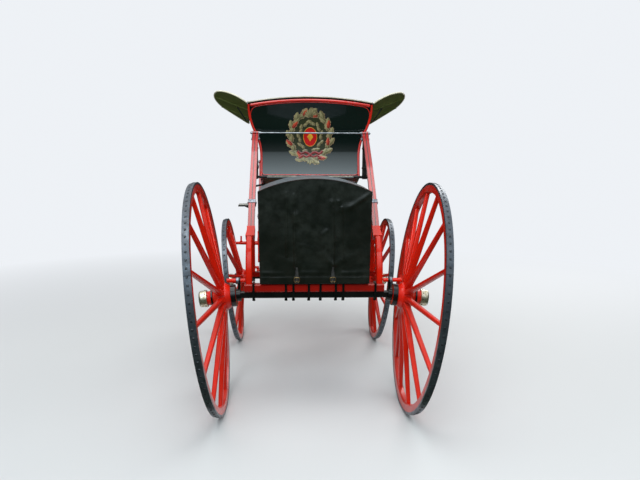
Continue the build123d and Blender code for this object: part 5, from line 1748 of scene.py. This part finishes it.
def diamonds(rows, pitch, inside):
    """Rows of (height, shift) at a pitch give staggered buttons and the folds that join neighbours."""
    buttons, creases = [], []
    for level, shift in rows:
        spots = [(pitch * (k + shift), level) for k in range(-9, 10)]
        buttons.append([spot for spot in spots if inside(*spot)])
    for lower, upper in zip(buttons, buttons[1:]):
        creases += [(a, b) for a in lower for b in upper if abs(a[0] - b[0]) < pitch * 0.75]
    return sum(buttons, []), creases


seat_buttons = diamonds([(0.400, 0.5), (0.540, 0.0), (0.680, 0.5)], 0.148, lambda a, b: abs(a) < 0.345)[0]
seat_depth = tufted(seat_buttons, [], (0, 1), 0.021, 0.040)
print("Places of the seat's buttons:", len(seat_buttons))

# %% Seat cushion
under_back, under_sides = 0.372, 0.372  # the cushion stays low behind this Y and beyond this X
seat_half, seat_y, seat_z, seat_swell = 0.4095, (0.2930, 0.7930), (1.8345, 1.9365), 0.022


def seat_held(p, n):
    """Still below, at the buttons and along the two seams round the edge."""
    if n.z < -0.5 or n.z > 0.5 and seat_depth(p)[1] < 0.010:
        return 1.0
    return 0.85 if 0.35 < abs(n.z) < 0.85 else 0.0


def seat_tuft(p, n):
    """How deep the seat's top is drawn in."""
    return seat_depth(p)[0] if n.z > 0.6 else 0.0


def seat_limit(p):
    """Keeps the cushion on its board, under the backrest and inside the side pads."""
    x, top = max(-seat_half, min(seat_half, p.x)), seat_z[1]
    if p.y >= under_back and abs(x) <= under_sides:
        top += seat_swell * min(1.0, (p.y - under_back) / 0.05, (under_sides - abs(x)) / 0.05)
    return Vector((x, max(seat_y[0], min(seat_y[1], p.y)), max(seat_z[0], min(top, p.z))))


seat_mesh = stuffed("seat", remeshed(seat_shells[0], 0.0085), seat_held, seat_tuft, 0.020, seat_limit)
seat = piece("seat_pad", seat_mesh, box_cloth, 180)
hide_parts("seat_cushion")


def rounded_loop(half, y0, y1, r, z):
    """A rounded rectangle at a height."""
    spots, x, low, high = [], half - r, y0 + r, y1 - r
    for cx, cy, a0 in ((x, high, 0), (-x, high, 90), (-x, low, 180), (x, low, 270)):
        for a in [radians(a0 + 90 * k / 8) for k in range(9)]:
            spots.append((cx + r * cos(a), cy + r * sin(a), z))
    return spots


def nearest(surface, points, lift):
    """Points drawn onto the nearest place of a surface, and then lifted off it."""
    hits = [surface.find_nearest(Vector(point)) for point in points]
    return [hit + normal * lift for hit, normal, _, _ in hits]


def covered_buttons(surface, spots, direction, r):
    """Cloth covered buttons, laid on a pad and turned to face out of it."""
    dome = [(0.0, r), (0.0022, r * 0.86), (0.0042, r * 0.5), (0.0048, 0.0004)]
    profile = [(-0.003, 0.0004), (-0.003, r * 0.8), *dome]
    places = laid(surface, spots, direction, 0.0, start=0.6)
    return [turned(profile, place, -Vector(direction), 14) for place in places]


seat_top = surface_of(seat_mesh)
pipings = []
for level in (1.9270, 1.8440):
    loop = closed_evenly(rounded_loop(0.3975, 0.3020, 0.7780, 0.024, level), 220)
    pipings.append(tube(nearest(seat_top, loop, 0.0010), 0.0040, closed=True))
piece("seat_piping", joined(pipings), trim_cloth, 80)
seat_studs = covered_buttons(seat_top, [(a, b, 1.95) for a, b in seat_buttons], (0, 0, -1), 0.0115)
piece("seat_buttons", joined(seat_studs), trim_cloth)
print("Seat buttons:", len(seat_studs))

# %% Backrest and side pads
back_rows = [(2.010, 0.5), (2.085, 0.0), (2.160, 0.5), (2.225, 0.0)]
side_rows = [(2.000, 0.0), (2.070, 0.5), (2.140, 0.0)]


def on_side(a, b):
    """Whether a button's place lies on a side pad."""
    return 0.30 < a < 0.72 and b < 2.26 - (a - 0.19) * 0.55


back_buttons, back_creases = diamonds(back_rows, 0.124, lambda a, b: abs(a) < flare_x(b) - 0.10)
back_depth = tufted(back_buttons, back_creases, (0, 2), 0.017, 0.024)
side_buttons, side_creases = diamonds(side_rows, 0.12, on_side)
side_depth = tufted(side_buttons, side_creases, (1, 2), 0.011, 0.024)


def back_held(p, n):
    """Still behind and at the buttons, and firm along the folds between them."""
    if n.y < -0.4:
        return 1.0
    _, near, fold = back_depth(p)
    return (1.0 if near < 0.008 else 0.55 if fold < 0.005 else 0.0) if n.y > 0.5 else 0.0


def side_held(p, n):
    """Still against the wall and at the buttons, and firm along the folds between them."""
    if n.x * copysign(1, p.x) > 0.4:
        return 1.0
    _, near, fold = side_depth(p)
    return 1.0 if near < 0.008 else 0.55 if fold < 0.005 else 0.0


def back_tuft(p, n):
    """How deep the backrest's face is drawn in."""
    return back_depth(p)[0] if n.y > 0.5 else 0.0


def side_tuft(p, n):
    """How deep a side pad's inner face is drawn in."""
    return side_depth(p)[0] if n.x * p.x < 0 and abs(n.x) > 0.5 else 0.0


def above_seat(p):
    """Keeps a pad above the seat cushion."""
    return Vector((p.x, p.y, max(seat_z[1] + 0.002, p.z)))


pads = []
for shell in squab_shells:
    middle = sum((v.co for v in shell.verts), Vector()) / len(shell.verts)
    held, tuft, cap, shrink = (side_held, side_tuft, 0.008, 0.002)
    if abs(middle.x) < 0.1:
        held, tuft, cap, shrink = (back_held, back_tuft, 0.016, 0.003)
    pads.append(stuffed("squab", remeshed(shell, 0.0075), held, tuft, cap, above_seat, shrink))
squab_mesh = joined(pads)
squabs = piece("squab_pads", squab_mesh, box_cloth, 180)
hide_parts("squabs")
squab_face = surface_of(squab_mesh)
studs = covered_buttons(squab_face, [(a, 0.9, b) for a, b in back_buttons], (0, -1, 0), 0.010)
for s in (-1, 1):
    studs += covered_buttons(squab_face, [(0.0, a, b) for a, b in side_buttons], (s, 0, 0), 0.009)
piece("squab_buttons", joined(studs), trim_cloth)
print("Backrest buttons:", len(back_buttons), "side buttons:", 2 * len(side_buttons))

# %% [markdown]
# ## Sizes
# The dressed carriage is meant to stay the size of the CAD model, so its box is printed.

# %% Sizes and finish
low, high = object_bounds()
print("Dressed size:", [round(v, 3) for v in high - low])
